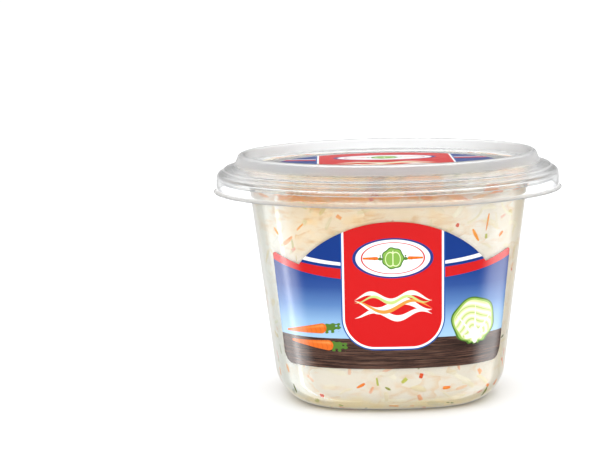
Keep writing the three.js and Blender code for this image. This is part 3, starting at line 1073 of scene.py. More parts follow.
@dataclass(frozen=True)
class TubForm:
    """The wall's form: a tapered rounded square with slightly bowed sides and a fillet round the base.

    A point of it is given by its share of the way round, 0 at the middle of the front and counter-
    clockwise from above, and by its climb, the length up the skin from the edge of the flat base. A
    negative climb lies on the base, -flat being its middle.
    """

    wall: float = 0.8
    taper: float = math.radians(6.9)
    lip_z: float = 65.5
    half_at_lip: float = 43.5
    corner_at_lip: float = 26.7
    corner_at_base: float = 24.8
    bow: float = 1.2
    fillet: float = 10.2
    directions: int = 721

    @property
    def flat(self) -> float:
        """Half the width of the flat base: the fillet touches both the base plane and the wall."""
        return float(self.half_width(self.fillet)) - self.fillet / math.cos(self.taper)

    @property
    def fillet_length(self) -> float:
        """Length of the fillet's arc."""
        return self.fillet * (QUARTER_TURN - self.taper)

    @property
    def fillet_top(self) -> float:
        """Height where the fillet ends and the wall starts."""
        return self.fillet * (1.0 - math.sin(self.taper))

    def half_width(self, z: Array | float) -> Array | float:
        """Half the width at a height: it narrows downwards with the taper."""
        return self.half_at_lip - (self.lip_z - z) * math.tan(self.taper)

    def corner(self, z: Array | float) -> Array | float:
        """Corner radius at a height: straight between its values at the fillet and at the lip."""
        share = (z - self.fillet) / (self.lip_z - self.fillet)
        return self.corner_at_base + share * (self.corner_at_lip - self.corner_at_base)

    def climb_to(self, z: Array | float) -> Array | float:
        """The climb of a height on the wall."""
        return self.fillet_length + (z - self.fillet_top) / math.cos(self.taper)

    def arcs(self, half: Array, corner: Array) -> tuple[Array, ...]:
        """The arcs of a square with bowed sides and round corners.

        Each side is an arc about a point behind it, each corner an arc about a point on the diagonal, and
        they meet tangent: with c the chord half - corner and b the bow, the side's radius is
        (c^2 + b^2) / 2b.

        Args:
            half: Half the width.
            corner: The corner radius.

        Returns:
            The side's radius, how far back its centre lies, the corner's centre, the angle where they
            meet, and the length of half a side and of half a quarter.
        """
        chord = half - corner
        radius = (chord**2 + self.bow**2) / (2 * self.bow)
        back = half - radius
        gap = radius - corner
        middle = (back + np.sqrt(2 * gap**2 - back**2)) / 2
        sweep = np.arctan2(middle, middle - back)
        side = radius * sweep
        return radius, back, middle, sweep, side, side + corner * (math.pi / 4 - sweep)

    def plan(self, share: Array, half: Array, corner: Array) -> tuple[Array, Array]:
        """A point of the outline and the angle that it faces.

        Args:
            share: Share of the way round.
            half: Half the width there.
            corner: The corner radius there.

        Returns:
            The points in plan, and the angle of the outward direction.
        """
        radius, back, middle, sweep, side, reach = self.arcs(half, corner)
        quarter = np.round(share * 4)
        local = share * 4 - quarter
        along = np.abs(local) * 2 * reach
        on_side = along <= side
        angle = np.where(on_side, along / radius, sweep + (along - side) / corner)
        arm = np.where(on_side, radius, corner)
        forward = np.where(on_side, back, middle) + arm * np.cos(angle)
        sideways = (np.where(on_side, 0.0, middle) + arm * np.sin(angle)) * np.sign(local)
        turn = (quarter - 1) * QUARTER_TURN
        x = np.cos(turn) * forward - np.sin(turn) * sideways
        y = np.sin(turn) * forward + np.cos(turn) * sideways
        return np.stack([x, y], -1), turn + np.sign(local) * angle

    def surface(self, share: Array, climb: Array, inset: Array | float = 0.0) -> tuple[Array, Array]:
        """Points of the wall, moved inwards, and the outward normals there.

        On the fillet the section is an arc of the fillet's radius less the inset. Above it the width grows
        with the taper, and on the base the outline shrinks evenly to the middle.

        Args:
            share: Share of the way round.
            climb: Length up the skin.
            inset: How far inwards.

        Returns:
            The points and the normals.
        """
        share, climb, inset = np.broadcast_arrays(share, climb, inset)
        angle = np.clip(climb, 0.0, self.fillet_length) / self.fillet - QUARTER_TURN
        rise = np.maximum(climb - self.fillet_length, 0.0)
        radius = self.fillet - inset
        half = self.flat + radius * np.cos(angle) + rise * math.sin(self.taper)
        z = self.fillet + radius * np.sin(angle) + rise * math.cos(self.taper)
        top_half = self.flat + self.fillet * math.cos(self.taper)
        on_fillet = self.corner(self.fillet_top) - (top_half - half)
        corner = np.where(rise > 0, self.corner(z) - inset, on_fillet)
        flat, facing = self.plan(share, half, corner)
        flat = flat * (1.0 + np.minimum(climb, 0.0) / self.flat)[..., None]
        level = np.cos(angle)
        normals = np.stack([np.cos(facing) * level, np.sin(facing) * level, np.sin(angle)], -1)
        return raised(flat, z), normals

    def front(self, s: Array, z: Array, proud: float) -> Array:
        """Points on the front of the wall, s round it from its middle line, at height z.

        Args:
            s: Lengths round the wall.
            z: Heights.
            proud: How far outside the wall's face.

        Returns:
            The points.
        """
        half, corner = self.half_width(z), self.corner(z)
        flat, facing = self.plan(s / (8 * self.arcs(half, corner)[5]), half, corner)
        return raised(flat + np.stack([np.cos(facing), np.sin(facing)], -1) * proud, z)

    def inner_radius(self, x: Array, y: Array, z: float) -> Array:
        """How far from the axis the wall's inner face is, in the direction of each point.

        Args:
            x: The points' places across the tub.
            y: Their places from front to back.
            z: Height at which the wall is measured.

        Returns:
            The distances.
        """
        share = np.linspace(-0.5, 0.5, self.directions)
        half = np.full_like(share, self.half_width(z) - self.wall)
        flat, _ = self.plan(share, half, np.full_like(share, self.corner(z) - self.wall))
        direction = np.arctan2(flat[:, 0], -flat[:, 1])
        return np.interp(np.arctan2(x, -y), direction, np.hypot(flat[:, 0], flat[:, 1]))


@dataclass(frozen=True)
class Tub:
    """The clear tub: its wall, a flat round flange, a short hem and a shallow hollow under the base."""

    form: TubForm
    rim_z: float = 70.8
    flange_radius: float = 52.8
    hem: float = 2.2
    edge: float = 0.3
    neck: float = 0.8
    hollow: float = 0.35
    hollow_border: float = 2.5
    hollow_slope: float = 1.6
    around: int = 256
    bend_rings: int = 6
    base_rings: int = 40
    fillet_rings: int = 20
    side_rings: int = 16

    def wall_rings(self, climbs: Array, inset: float) -> Array:
        """Rings of the wall at the given climbs."""
        share = np.arange(self.around) / self.around
        return self.form.surface(share[None, :], climbs[:, None], inset)[0]

    def brim_rings(self, base: Array, section: list[Pair]) -> Array:
        """Rings round the flange.

        Args:
            base: The ring of the wall that the section starts from.
            section: Pairs of a radius and a height. A radius under the tub's own is a step outwards from
                the base ring, and any other is the radius of a circle.

        Returns:
            The rings.
        """
        reach = np.hypot(base[:, 0], base[:, 1])
        radii, heights = np.array(section).T
        is_circle = (radii > self.form.half_at_lip)[:, None]
        wanted = np.where(is_circle, radii[:, None], reach[None] + radii[:, None])
        return raised(base[None, :, :2] * (wanted / reach)[..., None], heights[:, None])

    def skin(self) -> Skin:
        """The closed skin, from the middle of the base up the outside and down the inside.

        Returns:
            The skin.
        """
        form, neck, out, edge = self.form, self.neck, self.flange_radius, self.edge
        under = self.rim_z - form.wall
        hem_z = self.rim_z - self.hem
        hem_in = out - form.wall
        bend = np.linspace(0.0, QUARTER_TURN, self.bend_rings)
        base = np.linspace(-form.flat, 0.0, self.base_rings)[1:-1]
        fillet = np.linspace(0.0, form.fillet_length, self.fillet_rings)
        outer_wall = np.linspace(form.fillet_length, form.climb_to(under - neck), self.side_rings)[1:]
        inner_wall = np.linspace(form.climb_to(self.rim_z - neck), form.fillet_length, self.side_rings)
        under_base = self.wall_rings(base, 0.0)
        dip = smooth_step((-base - self.hollow_border) / self.hollow_slope)
        under_base[..., 2] += self.hollow * dip[:, None]
        brim = [(neck * (1 - math.cos(a)), under - neck * (1 - math.sin(a))) for a in bend[1:]] + [
            (hem_in - 2 * edge, under),
            (hem_in - 0.3 * edge, under - 0.3 * edge),
            (hem_in, under - 2 * edge),
            (hem_in, hem_z + edge),
            (hem_in + 0.3 * edge, hem_z + 0.1 * edge),
            (out - 0.3 * edge, hem_z + 0.1 * edge),
            (out, hem_z + edge),
            (out, self.rim_z - edge),
            (out - 0.3 * edge, self.rim_z - 0.1 * edge),
            (out - edge, self.rim_z),
        ]
        mouth = [(neck * (1 - math.sin(a)), self.rim_z - neck * (1 - math.cos(a))) for a in bend]
        top = self.wall_rings(np.array([form.climb_to(under)]), 0.0)[0]
        top_in = self.wall_rings(np.array([form.climb_to(self.rim_z)]), form.wall)[0]
        rings = np.concatenate([
            under_base,
            self.wall_rings(fillet, 0.0),
            self.wall_rings(outer_wall, 0.0),
            self.brim_rings(top, brim),
            self.brim_rings(top_in, mouth),
            self.wall_rings(inner_wall[1:-1], form.wall),
            self.wall_rings(fillet[::-1], form.wall),
            self.wall_rings(base[::-3], form.wall),
        ])
        return Skin.stacked(rings, self.hollow, form.wall)

    def build(self, finish: ClearPlastic) -> None:
        """Makes the tub."""
        settle(self.skin().piece("clear_tub", finish.material()), "tub_plastic", "tub")


@dataclass(frozen=True)
class Lid:
    """The clear round lid: lip, skirt, sloping deck, raised ring and sunken panel.

    A corner of its section is rounded over the stretch rounding, or over edge_share of its shorter edge
    where that is less. The wall keeps its thickness round a bend whose cosine is at least mitre.
    """

    wall: float = 0.6
    radius: float = 55.0
    lip_z: float = 65.5
    lip_height: float = 0.4
    lip_reach: float = 1.2
    skirt_radius: float = 54.15
    skirt_top: float = 70.0
    shoulder: Pair = (53.2, 71.7)
    deck_edge: Pair = (51.6, 72.9)
    ring_foot: Pair = (48.1, 74.0)
    ring: Pair = (46.1, 77.3)
    crest: float = 1.05
    crown: float = 0.35
    panel: Pair = (43.6, 73.1)
    foot: float = 0.7
    rounding: float = 0.8
    edge_share: float = 0.48
    mitre: float = 0.75
    round_points: int = 6
    panel_rings: int = 12
    around: int = 256

    def profile(self) -> Array:
        """The upper face's section as radius and height, from the middle out to the lip.

        Returns:
            The section.
        """
        foot, lip = self.foot, self.lip_height
        ring_r, ring_z = self.ring
        return np.array([
            (0.0, self.panel[1]),
            self.panel,
            (self.panel[0] + foot, self.panel[1] + foot),
            (ring_r - self.crest, ring_z - foot * 0.7),
            (ring_r - self.crown, ring_z),
            (ring_r + self.crown, ring_z),
            (ring_r + self.crest, ring_z - foot * 0.7),
            (self.ring_foot[0], self.ring_foot[1] + foot / 2),
            (self.ring_foot[0] + foot, self.ring_foot[1] - foot / 3),
            self.deck_edge,
            (self.deck_edge[0] + foot / 2, self.deck_edge[1] - foot),
            self.shoulder,
            (self.shoulder[0] + foot, self.shoulder[1] - foot),
            (self.skirt_radius, self.skirt_top),
            (self.skirt_radius, self.lip_z + self.lip_reach),
            (self.radius - lip, self.lip_z + lip),
            (self.radius, self.lip_z + lip / 2),
            (self.radius, self.lip_z),
        ])

    def inset(self, profile: Array) -> Array:
        """The section moved inwards by the wall, along the mean normal at each point.

        Args:
            profile: The upper face's section.

        Returns:
            The lower face's section, one point shorter.
        """
        before = np.concatenate([profile[:1], profile[:-1]])
        after = np.concatenate([profile[1:], profile[-1:]])
        along = unit(after - before)
        ahead = after - profile
        ahead[-1] = along[-1]
        bend = np.maximum(np.sum(unit(ahead) * along, axis=1), self.mitre)
        bend[0] = 1.0
        inner = profile + np.stack([along[:, 1], -along[:, 0]], 1) * (self.wall / bend)[:, None]
        inner[0, 0] = 0.0
        inner = inner[:-1]
        skirt_in = self.skirt_radius - self.wall
        inner[-2] = (skirt_in, self.lip_z + self.lip_reach - self.lip_height)
        inner[-1] = (skirt_in + self.lip_height, self.lip_z)
        return inner

    def rounded(self, profile: Array) -> Array:
        """The section with each corner replaced by a parabola, and without its first point.

        Args:
            profile: The section's points.

        Returns:
            The smooth section.
        """
        edges = np.diff(profile, axis=0)
        lengths = np.linalg.norm(edges, axis=1)
        units = edges / lengths[:, None]
        shorter = np.minimum(lengths[:-1], lengths[1:])
        reach = np.minimum(self.rounding, self.edge_share * shorter)[:, None]
        start = profile[1:-1] - units[:-1] * reach
        end = profile[1:-1] + units[1:] * reach
        t = np.linspace(0.0, 1.0, self.round_points)[None, :, None]
        curves = start[:, None] * (1 - t) ** 2 + 2 * profile[1:-1, None] * t * (1 - t) + end[:, None] * t**2
        return np.concatenate([curves.reshape(-1, 2), profile[-1:]])

    def skin(self) -> Skin:
        """The closed skin: the section turned round the axis, from below the panel out and back over it.

        Returns:
            The skin.
        """
        upper = self.profile()
        lower = self.inset(upper)
        inside = self.rounded(lower)
        outside = self.rounded(upper)[::-1]
        low, high = lower[0, 1], upper[0, 1]
        panel = np.linspace(0.0, 1.0, self.panel_rings)[1:-1, None]
        spread_low = np.concatenate([panel * inside[0, 0], np.full_like(panel, low)], 1)
        spread_high = np.concatenate([panel[::-1] * outside[-1, 0], np.full_like(panel, high)], 1)
        section = np.concatenate([spread_low, inside, outside, spread_high])
        return Skin.turned(section, self.around, low, high)

    def build(self, finish: ClearPlastic) -> None:
        """Makes the lid."""
        settle(self.skin().piece("clear_lid", finish.material()), "lid_plastic", "lid")


# ---------------------------------------------------------------- labels


def film(front: Array, back: Array, chart: Array) -> Skin:
    """A thin closed film from two equal grids of points.

    Args:
        front: Points of the printed face, by column and row. Columns run to the right and rows upwards as
            the face is seen from outside.
        back: Points of the hidden face, in the same order.
        chart: Chart measures of the points, in millimetres.

    Returns:
        The film's skin.
    """
    columns, rows = front.shape[:2]
    offset = columns * rows
    index = np.arange(offset).reshape(columns, rows)
    face = np.stack([index[:-1, :-1], index[1:, :-1], index[1:, 1:], index[:-1, 1:]], -1).reshape(-1, 4)
    loop = np.concatenate([index[:-1, 0], index[-1, :-1], index[:0:-1, -1], index[0, :0:-1]])
    after = np.roll(loop, -1)
    rim = np.stack([loop, loop + offset, after + offset, after], -1)
    points = np.concatenate([front.reshape(-1, 3), back.reshape(-1, 3)])
    flat = chart.reshape(-1, 2) / CHART_SPAN + [CHART_MIDDLE, 0.0]
    faces = [face, face[:, ::-1] + offset, rim]
    return Skin(points, faces, chart=np.concatenate([flat, flat]), crease=FILM_CREASE)


@dataclass(frozen=True)
class SideLabel:
    """The label round the front: an arched middle between two notches, and a wing on each side."""

    form: TubForm
    proud: float = 0.07
    sunk: float = 0.02
    bottom: float = 14.7
    crown: float = 60.0
    notch: Pair = (29.0, 46.8)
    wing: float = 50.2
    half_top: float = 39.9
    half_bottom: float = 37.6
    corner: float = 4.0
    tip: float = 1.6
    rows: int = 36
    arch_columns: int = 50
    wing_columns: int = 12
    end_columns: int = 20

    def columns(self) -> Array:
        """Places of the columns, close together at the rounded ends and with one on each notch.

        Returns:
            The places, from left to right.
        """
        bend = np.linspace(0, QUARTER_TURN, self.end_columns)
        right = np.concatenate([
            np.linspace(0.0, self.notch[0], self.arch_columns)[1:],
            np.linspace(self.notch[0], self.half_top - self.corner, self.wing_columns)[1:],
            self.half_top - self.corner * (1 - np.sin(bend[1:])),
        ])
        return np.concatenate([-right[::-1], [0.0], right])

    def top(self, s: Array) -> Array:
        """Upper edge: a circle through the crown and the notches, then straight up to the rounded tips.

        Args:
            s: Lengths from the middle line.

        Returns:
            The heights.
        """
        along = np.abs(s)
        rise = self.crown - self.notch[1]
        radius = (self.notch[0] ** 2 + rise**2) / (2 * rise)
        arch = self.crown - radius + np.sqrt(radius**2 - np.minimum(along, self.notch[0]) ** 2)
        share = (along - self.notch[0]) / (self.half_top - self.notch[0])
        wing = self.notch[1] + share * (self.wing - self.notch[1])
        into = np.clip(along - (self.half_top - self.tip), 0.0, self.tip)
        wing = wing - (self.tip - np.sqrt(self.tip**2 - into**2))
        return np.where(along < self.notch[0], arch, wing)

    def foot(self, s: Array) -> Array:
        """Lower edge: straight, with round corners."""
        into = np.clip(np.abs(s) - (self.half_top - self.corner), 0.0, self.corner)
        return self.bottom + self.corner - np.sqrt(self.corner**2 - into**2)

    def skin(self) -> Skin:
        """The film on the wall. It narrows downwards, as the wall does.

        Returns:
            The skin.
        """
        s = self.columns()[:, None]
        share = np.linspace(0.0, 1.0, self.rows + 1)[None, :]
        z = self.foot(s) + share * (self.top(s) - self.foot(s))
        low = self.half_bottom / self.half_top
        s = s * np.minimum(low + (1 - low) * (z - self.bottom) / (self.wing - self.bottom), 1.0)
        front, back = (self.form.front(s, z, proud) for proud in (self.proud, -self.sunk))
        return film(front, back, np.stack([s, z], -1))

    def build(self, finish: Print) -> None:
        """Makes the label."""
        settle(self.skin().piece("side_label_film", finish.material()), "label_print", "side_label")


@dataclass(frozen=True)
class LidLabel:
    """The round label on the lid's panel. Its chart's middle is as high as drop."""

    panel_z: float = 73.1
    radius: float = 36.0
    proud: float = 0.07
    sunk: float = 0.02
    around: int = 192
    rings: int = 24
    drop: float = 38.0

    def skin(self) -> Skin:
        """A disc of rings about the axis, from the middle of its lower face to that of its upper one.

        Returns:
            The skin.
        """
        reach = np.linspace(0.0, self.radius, self.rings + 1)[1:]
        low, high = self.panel_z - self.sunk, self.panel_z + self.proud
        section = np.stack([np.concatenate([reach, reach[::-1]]), np.repeat([low, high], self.rings)], -1)
        skin = Skin.turned(section, self.around, low, high)
        skin.chart = (skin.points[:, :2] + [0.0, self.drop]) / CHART_SPAN + [CHART_MIDDLE, 0.0]
        skin.crease = FILM_CREASE
        return skin

    def build(self, finish: Print) -> None:
        """Makes the label."""
        settle(self.skin().piece("lid_label_film", finish.material()), "label_print", "lid_label")


# ---------------------------------------------------------------- coleslaw


@dataclass(frozen=True)
class Core:
    """The body of the salad: it reaches a little into the tub's wall and up to the heap's face.

    Attributes:
        form: The tub's form.
        into_wall: How far it reaches into the wall.
        shoulder: How far its edge lies under the heap's face, and rise the share of the way in to there.
        crust: Its colour where carrot lies along its edge.
        crust_band: Heights, in metres, between which that colour comes in.
        relief: Depth of the unevenness of its skin.
    """

    form: TubForm
    into_wall: float = 0.14
    shoulder: float = 0.8
    rise: float = 0.05
    crust: Rgba = tint(255, 148, 22)
    crust_band: Pair = (0.0672, 0.0678)
    relief: float = 0.35
    around: int = 256
    base_rings: int = 10
    fillet_rings: int = 16
    side_rings: int = 22
    top_rings: int = 30

    def skin(self) -> Skin:
        """The closed skin, from the middle of the base up the wall and over the heap's face.

        Returns:
            The skin.
        """
        form = self.form
        inset = form.wall - self.into_wall
        share = (np.arange(self.around) / self.around)[None, :]
        base = np.linspace(-form.flat, 0.0, self.base_rings)[1:-1]
        fillet = np.linspace(0.0, form.fillet_length, self.fillet_rings)
        low = form.surface(share, np.concatenate([base, fillet])[:, None], inset)[0]
        rim = form.surface(share, form.climb_to(HEAP_TOP), inset)[0][0]
        edge = form.climb_to(heap_height(rim[:, 0], rim[:, 1]) - self.shoulder)
        rise = np.linspace(0.0, 1.0, self.side_rings)[1:, None]
        wall = form.surface(share, form.fillet_length + rise * (edge - form.fillet_length), inset)[0]
        crest = wall[-1]
        inwards = np.linspace(1.0 - self.rise, 0.0, self.top_rings)[:-1]
        steps = np.concatenate([[0.995, 0.985, 0.97], inwards])[:, None]
        x, y = crest[:, 0] * steps, crest[:, 1] * steps
        lift = smooth_step((1.0 - steps) / self.rise)
        top = np.stack([x, y, crest[:, 2] + (heap_height(x, y) - crest[:, 2]) * lift], -1)
        return Skin.stacked(np.concatenate([low, wall, top]), inset, float(heap_height(0.0, 0.0)))

    def build(self, dressing: Dressing) -> None:
        """Makes the core, and dresses it.

        Args:
            dressing: What covers it.
        """
        sheet = Sheet.material("dressing")
        grain = sheet.noise(900.0, 3.0, 0.6)
        swell = sheet.noise(200.0, 2.0)
        crust = (sheet.axes()[2] + (swell - 0.5) * 0.0012).span(*self.crust_band)
        share = crust * (swell.span(0.4, 0.55) * 0.6 + 0.35)
        colour = sheet.layers(dressing.colour(sheet), (share, self.crust))
        sheet.set(Base_Color=colour, Roughness=grain.span(0.3, 0.7) * 0.2 + 0.3, IOR=1.38)
        sheet.bump(grain * 0.3 + swell * 0.7, self.relief * MM)
        settle(self.skin().piece("coleslaw_body", sheet.owner), "coleslaw", "coleslaw")


class Lie(Enum):
    """Where a batch of shreds lies."""

    WALL = "pressed against the wall"
    TOP = "loose on top of the heap"


@dataclass(frozen=True)
class Batch:
    """A number of shreds of one kind that lie alike.

    Attributes:
        lie: Where they lie.
        count: How many there are.
        length: Range of their lengths.
        width: Range of their widths.
        thick: Range of their thicknesses.
        veil: Range of how much dressing covers them.
        curl: Most turn of a path, in radians a millimetre.
        band: Range of heights on the wall, or of heights above the heap's face.
        slope: Most angle to the level, on the wall.
        soft: How much more dressing lies over the edges and ends.
    """

    lie: Lie
    count: int
    length: Pair
    width: Pair
    thick: Pair
    veil: Pair
    curl: float = 0.05
    band: Pair = (2.0, 69.0)
    slope: float = QUARTER_TURN
    soft: float = 0.0


@dataclass(frozen=True)
class Shreds:
    """All shreds of one kind, as one mesh.

    Attributes:
        form: The tub's form.
        name: The piece's name.
        finish: The vegetable.
        batches: The shreds, batch by batch.
        steps: Sections along a shred.
        around: Points round a section.
        into_wall: How far the front of a shred reaches into the wall.
        lower_climb: How much less than the height the climb is taken to be, on the base and fillet.
        wall_band: Heights within which the length round the wall is taken for a shred on it.
        crest: How far above the heap's mean height a shred on the wall may climb.
        spread: Radius of the circle that the shreds on top are spread over.
        overlap: How far the shreds on top may reach into the wall.
        ceiling: Height under the lid that no shred passes, and squeeze the last stretch before it.
    """

    form: TubForm
    name: str
    finish: ShredFinish
    batches: tuple[Batch, ...]
    steps: int = 8
    around: int = 6
    into_wall: float = 0.27
    lower_climb: float = 4.0
    wall_band: Pair = (10.0, 70.0)
    crest: float = 0.6
    spread: float = 46.5
    overlap: float = 0.2
    ceiling: float = 72.3
    squeeze: float = 0.6

    def build(self, dressing: Dressing, draw: np.random.Generator) -> None:
        """Makes the mesh.

        Args:
            dressing: What covers the shreds.
            draw: The random draws.
        """
        parts = [self.strips(batch, draw) for batch in self.batches]
        points, chart, shade, veil = (np.concatenate(group) for group in zip(*parts))
        stride = self.steps * self.around + 2
        starts = np.arange(len(points) // stride)[:, None, None] * stride
        one = tube_faces(self.steps, self.around)
        faces = [(part[None] + starts).reshape(-1, part.shape[1]) for part in one]
        skin = Skin(points, faces, {SHADE: shade, VEIL: veil}, chart)
        settle(skin.piece(self.name, self.finish.material(dressing)), "coleslaw")

    def strips(self, batch: Batch, draw: np.random.Generator) -> tuple[Array, ...]:
        """Points, chart, shade and veil of one batch.

        A strip is an oval section carried along a path. Its width swells from blunt ends to the middle
        and wavers on the way.

        Args:
            batch: What to make.
            draw: The random draws.

        Returns:
            The four arrays, with one row for each point.
        """
        count, soft = batch.count, batch.soft
        length, width, thick = (
            draw.uniform(*span, count)[:, None] for span in (batch.length, batch.width, batch.thick)
        )
        shade = draw.uniform(0.0, 1.0, count)
        veil = draw.uniform(*batch.veil, count)
        t = np.linspace(0.0, 1.0, self.steps)[None, :]
        blunt = draw.uniform(0.1, 0.75, count)[:, None]
        waver = draw.uniform(0.0, FULL_TURN, count)[:, None]
        profile = np.minimum(1.0, blunt + (1 - blunt) * np.sin(math.pi * t) ** 0.5 * 1.15)
        half_width = width / 2 * profile * (1 + 0.13 * np.sin(waver + t * 7.0))
        half_thick = thick / 2 * (0.55 + 0.45 * np.sin(math.pi * t) ** 0.6)
        on_wall = batch.lie is Lie.WALL
        path, normal = (self.wall_path if on_wall else self.top_path)(batch, length, thick, t, draw)
        along = unit(np.gradient(path, axis=1))
        side = unit(np.cross(normal, along))
        up = np.cross(along, side)
        angle = circle(self.around)
        across = np.cos(angle) * half_width[..., None]
        rise = np.sin(angle) * half_thick[..., None]
        rings = path[:, :, None] + side[:, :, None] * across[..., None] + up[:, :, None] * rise[..., None]
        first = path[:, :1] - along[:, :1] * half_thick[:, :1, None] * 0.5
        last = path[:, -1:] + along[:, -1:] * half_thick[:, -1:, None] * 0.5
        points = np.concatenate([first, rings.reshape(count, -1, 3), last], 1)
        if not on_wall:
            points = self.contained(points)
        down = np.broadcast_to((length * t)[..., None], rings.shape[:3])
        round_it = np.broadcast_to(angle * 1.4 + waver[..., None] * 9.0, rings.shape[:3])
        body = np.stack([down + waver[..., None] * 40.0, round_it], -1).reshape(count, -1, 2)
        chart = np.concatenate([body[:, :1], body, body[:, -1:]], 1) / CHART_SPAN
        sunk = np.abs(np.cos(angle))[None, None] ** 2 * soft
        sunk = sunk + (np.abs(2 * t - 1) ** 8 * soft)[..., None] * 0.4
        cover = np.broadcast_to(sunk, rings.shape[:3]).reshape(count, -1) + veil[:, None]
        cover = np.concatenate([cover[:, :1] + soft, cover, cover[:, -1:] + soft], 1)
        shades = np.repeat(shade, points.shape[1])
        return points.reshape(-1, 3), chart.reshape(-1, 2), shades, cover.ravel()

    def walk(
        self, batch: Batch, length: Array, heading: Array, t: Array, draw: np.random.Generator
    ) -> tuple[Array, Array]:
        """Circles of a random curl in a plane, each about the origin.

        Args:
            batch: What to make.
            length: Each strip's length.
            heading: The direction of its middle.
            t: Shares of the way along.
            draw: The random draws.

        Returns:
            The two coordinates of the circles' points.
        """
        curl = draw.uniform(-batch.curl, batch.curl, batch.count)[:, None]
        turned = heading + curl * length * (t - 0.5)
        step = length / (self.steps - 1)
        x, y = (np.cumsum(part(turned) * step, 1) for part in (np.cos, np.sin))
        return x - x.mean(1, keepdims=True), y - y.mean(1, keepdims=True)

    def wall_path(
        self, batch: Batch, length: Array, thick: Array, t: Array, draw: np.random.Generator
    ) -> tuple[Array, Array]:
        """Paths along the wall's skin, laid out as share and climb.

        The front of each strip reaches into the wall, so that no air lies before it.

        Args:
            batch: What to make.
            length: Each strip's length.
            thick: Each strip's thickness.
            t: Shares of the way along.
            draw: The random draws.

        Returns:
            The paths and the outward normals on them.
        """
        form, count, (start, end) = self.form, batch.count, batch.band
        share = ((np.arange(count) * GOLDEN_SHARE) % 1.0)[:, None]
        low = form.climb_to(start) if start > form.fillet else start - self.lower_climb
        climb = draw.uniform(low, form.climb_to(end), count)[:, None]
        heading = draw.uniform(-batch.slope, batch.slope, count)[:, None]
        level, rise = self.walk(batch, length, heading, t, draw)
        height = np.clip(climb, *self.wall_band)
        reach = form.arcs(form.half_width(height), form.corner(height))[5]
        inset = form.wall - self.into_wall + draw.uniform(-0.04, 0.05, count)[:, None] + thick / 2
        up = np.minimum(climb + rise, form.climb_to(HEAP_TOP + self.crest))
        return form.surface(share + level / (8 * reach), up, inset)

    def top_path(
        self, batch: Batch, length: Array, thick: Array, t: Array, draw: np.random.Generator
    ) -> tuple[Array, Array]:
        """Paths over the heap's face, lifted to their layer, arched and tipped.

        Args:
            batch: What to make.
            length: Each strip's length.
            thick: Each strip's thickness, which makes no difference here.
            t: Shares of the way along.
            draw: The random draws.

        Returns:
            The paths and the normals of the strips' flat sides.
        """
        count = batch.count
        number = np.arange(count)
        radius = self.spread * np.sqrt((number + 0.5) / count)
        angle = number * math.pi * (3 - math.sqrt(5)) + draw.uniform(0, FULL_TURN)
        heading = draw.uniform(0, FULL_TURN, count)[:, None]
        x, y = self.walk(batch, length, heading, t, draw)
        x, y = x + (radius * np.cos(angle))[:, None], y + (radius * np.sin(angle))[:, None]
        layer = draw.uniform(*batch.band, count)[:, None]
        arch = draw.uniform(-0.5, 1.1, count)[:, None] * np.sin(math.pi * t)
        tip = draw.uniform(-0.5, 0.5, count)[:, None] * (t - 0.5)
        z = heap_height(x, y) + layer + arch + tip
        lean = draw.uniform(-0.7, 0.7, (2, count))
        normal = unit(np.stack([lean[0], lean[1], np.ones(count)], -1)[:, None])
        return np.stack([x, y, z], -1), np.broadcast_to(normal, (*x.shape, 3))

    def contained(self, points: Array) -> Array:
        """The points, held just inside the wall and under the lid.

        Args:
            points: The points of the shreds on top.

        Returns:
            The points, moved where they have to be.
        """
        x, y, z = points[..., 0], points[..., 1], points[..., 2]
        limit = self.form.inner_radius(x, y, HEAP_TOP) + self.overlap
        scale = np.minimum(1.0, limit / np.maximum(np.hypot(x, y), 1e-6))
        over = np.maximum(z - (self.ceiling - self.squeeze), 0.0)
        held = np.where(over > 0, self.ceiling - self.squeeze * np.exp(-over / self.squeeze), z)
        return np.stack([x * scale, y * scale, held], -1)


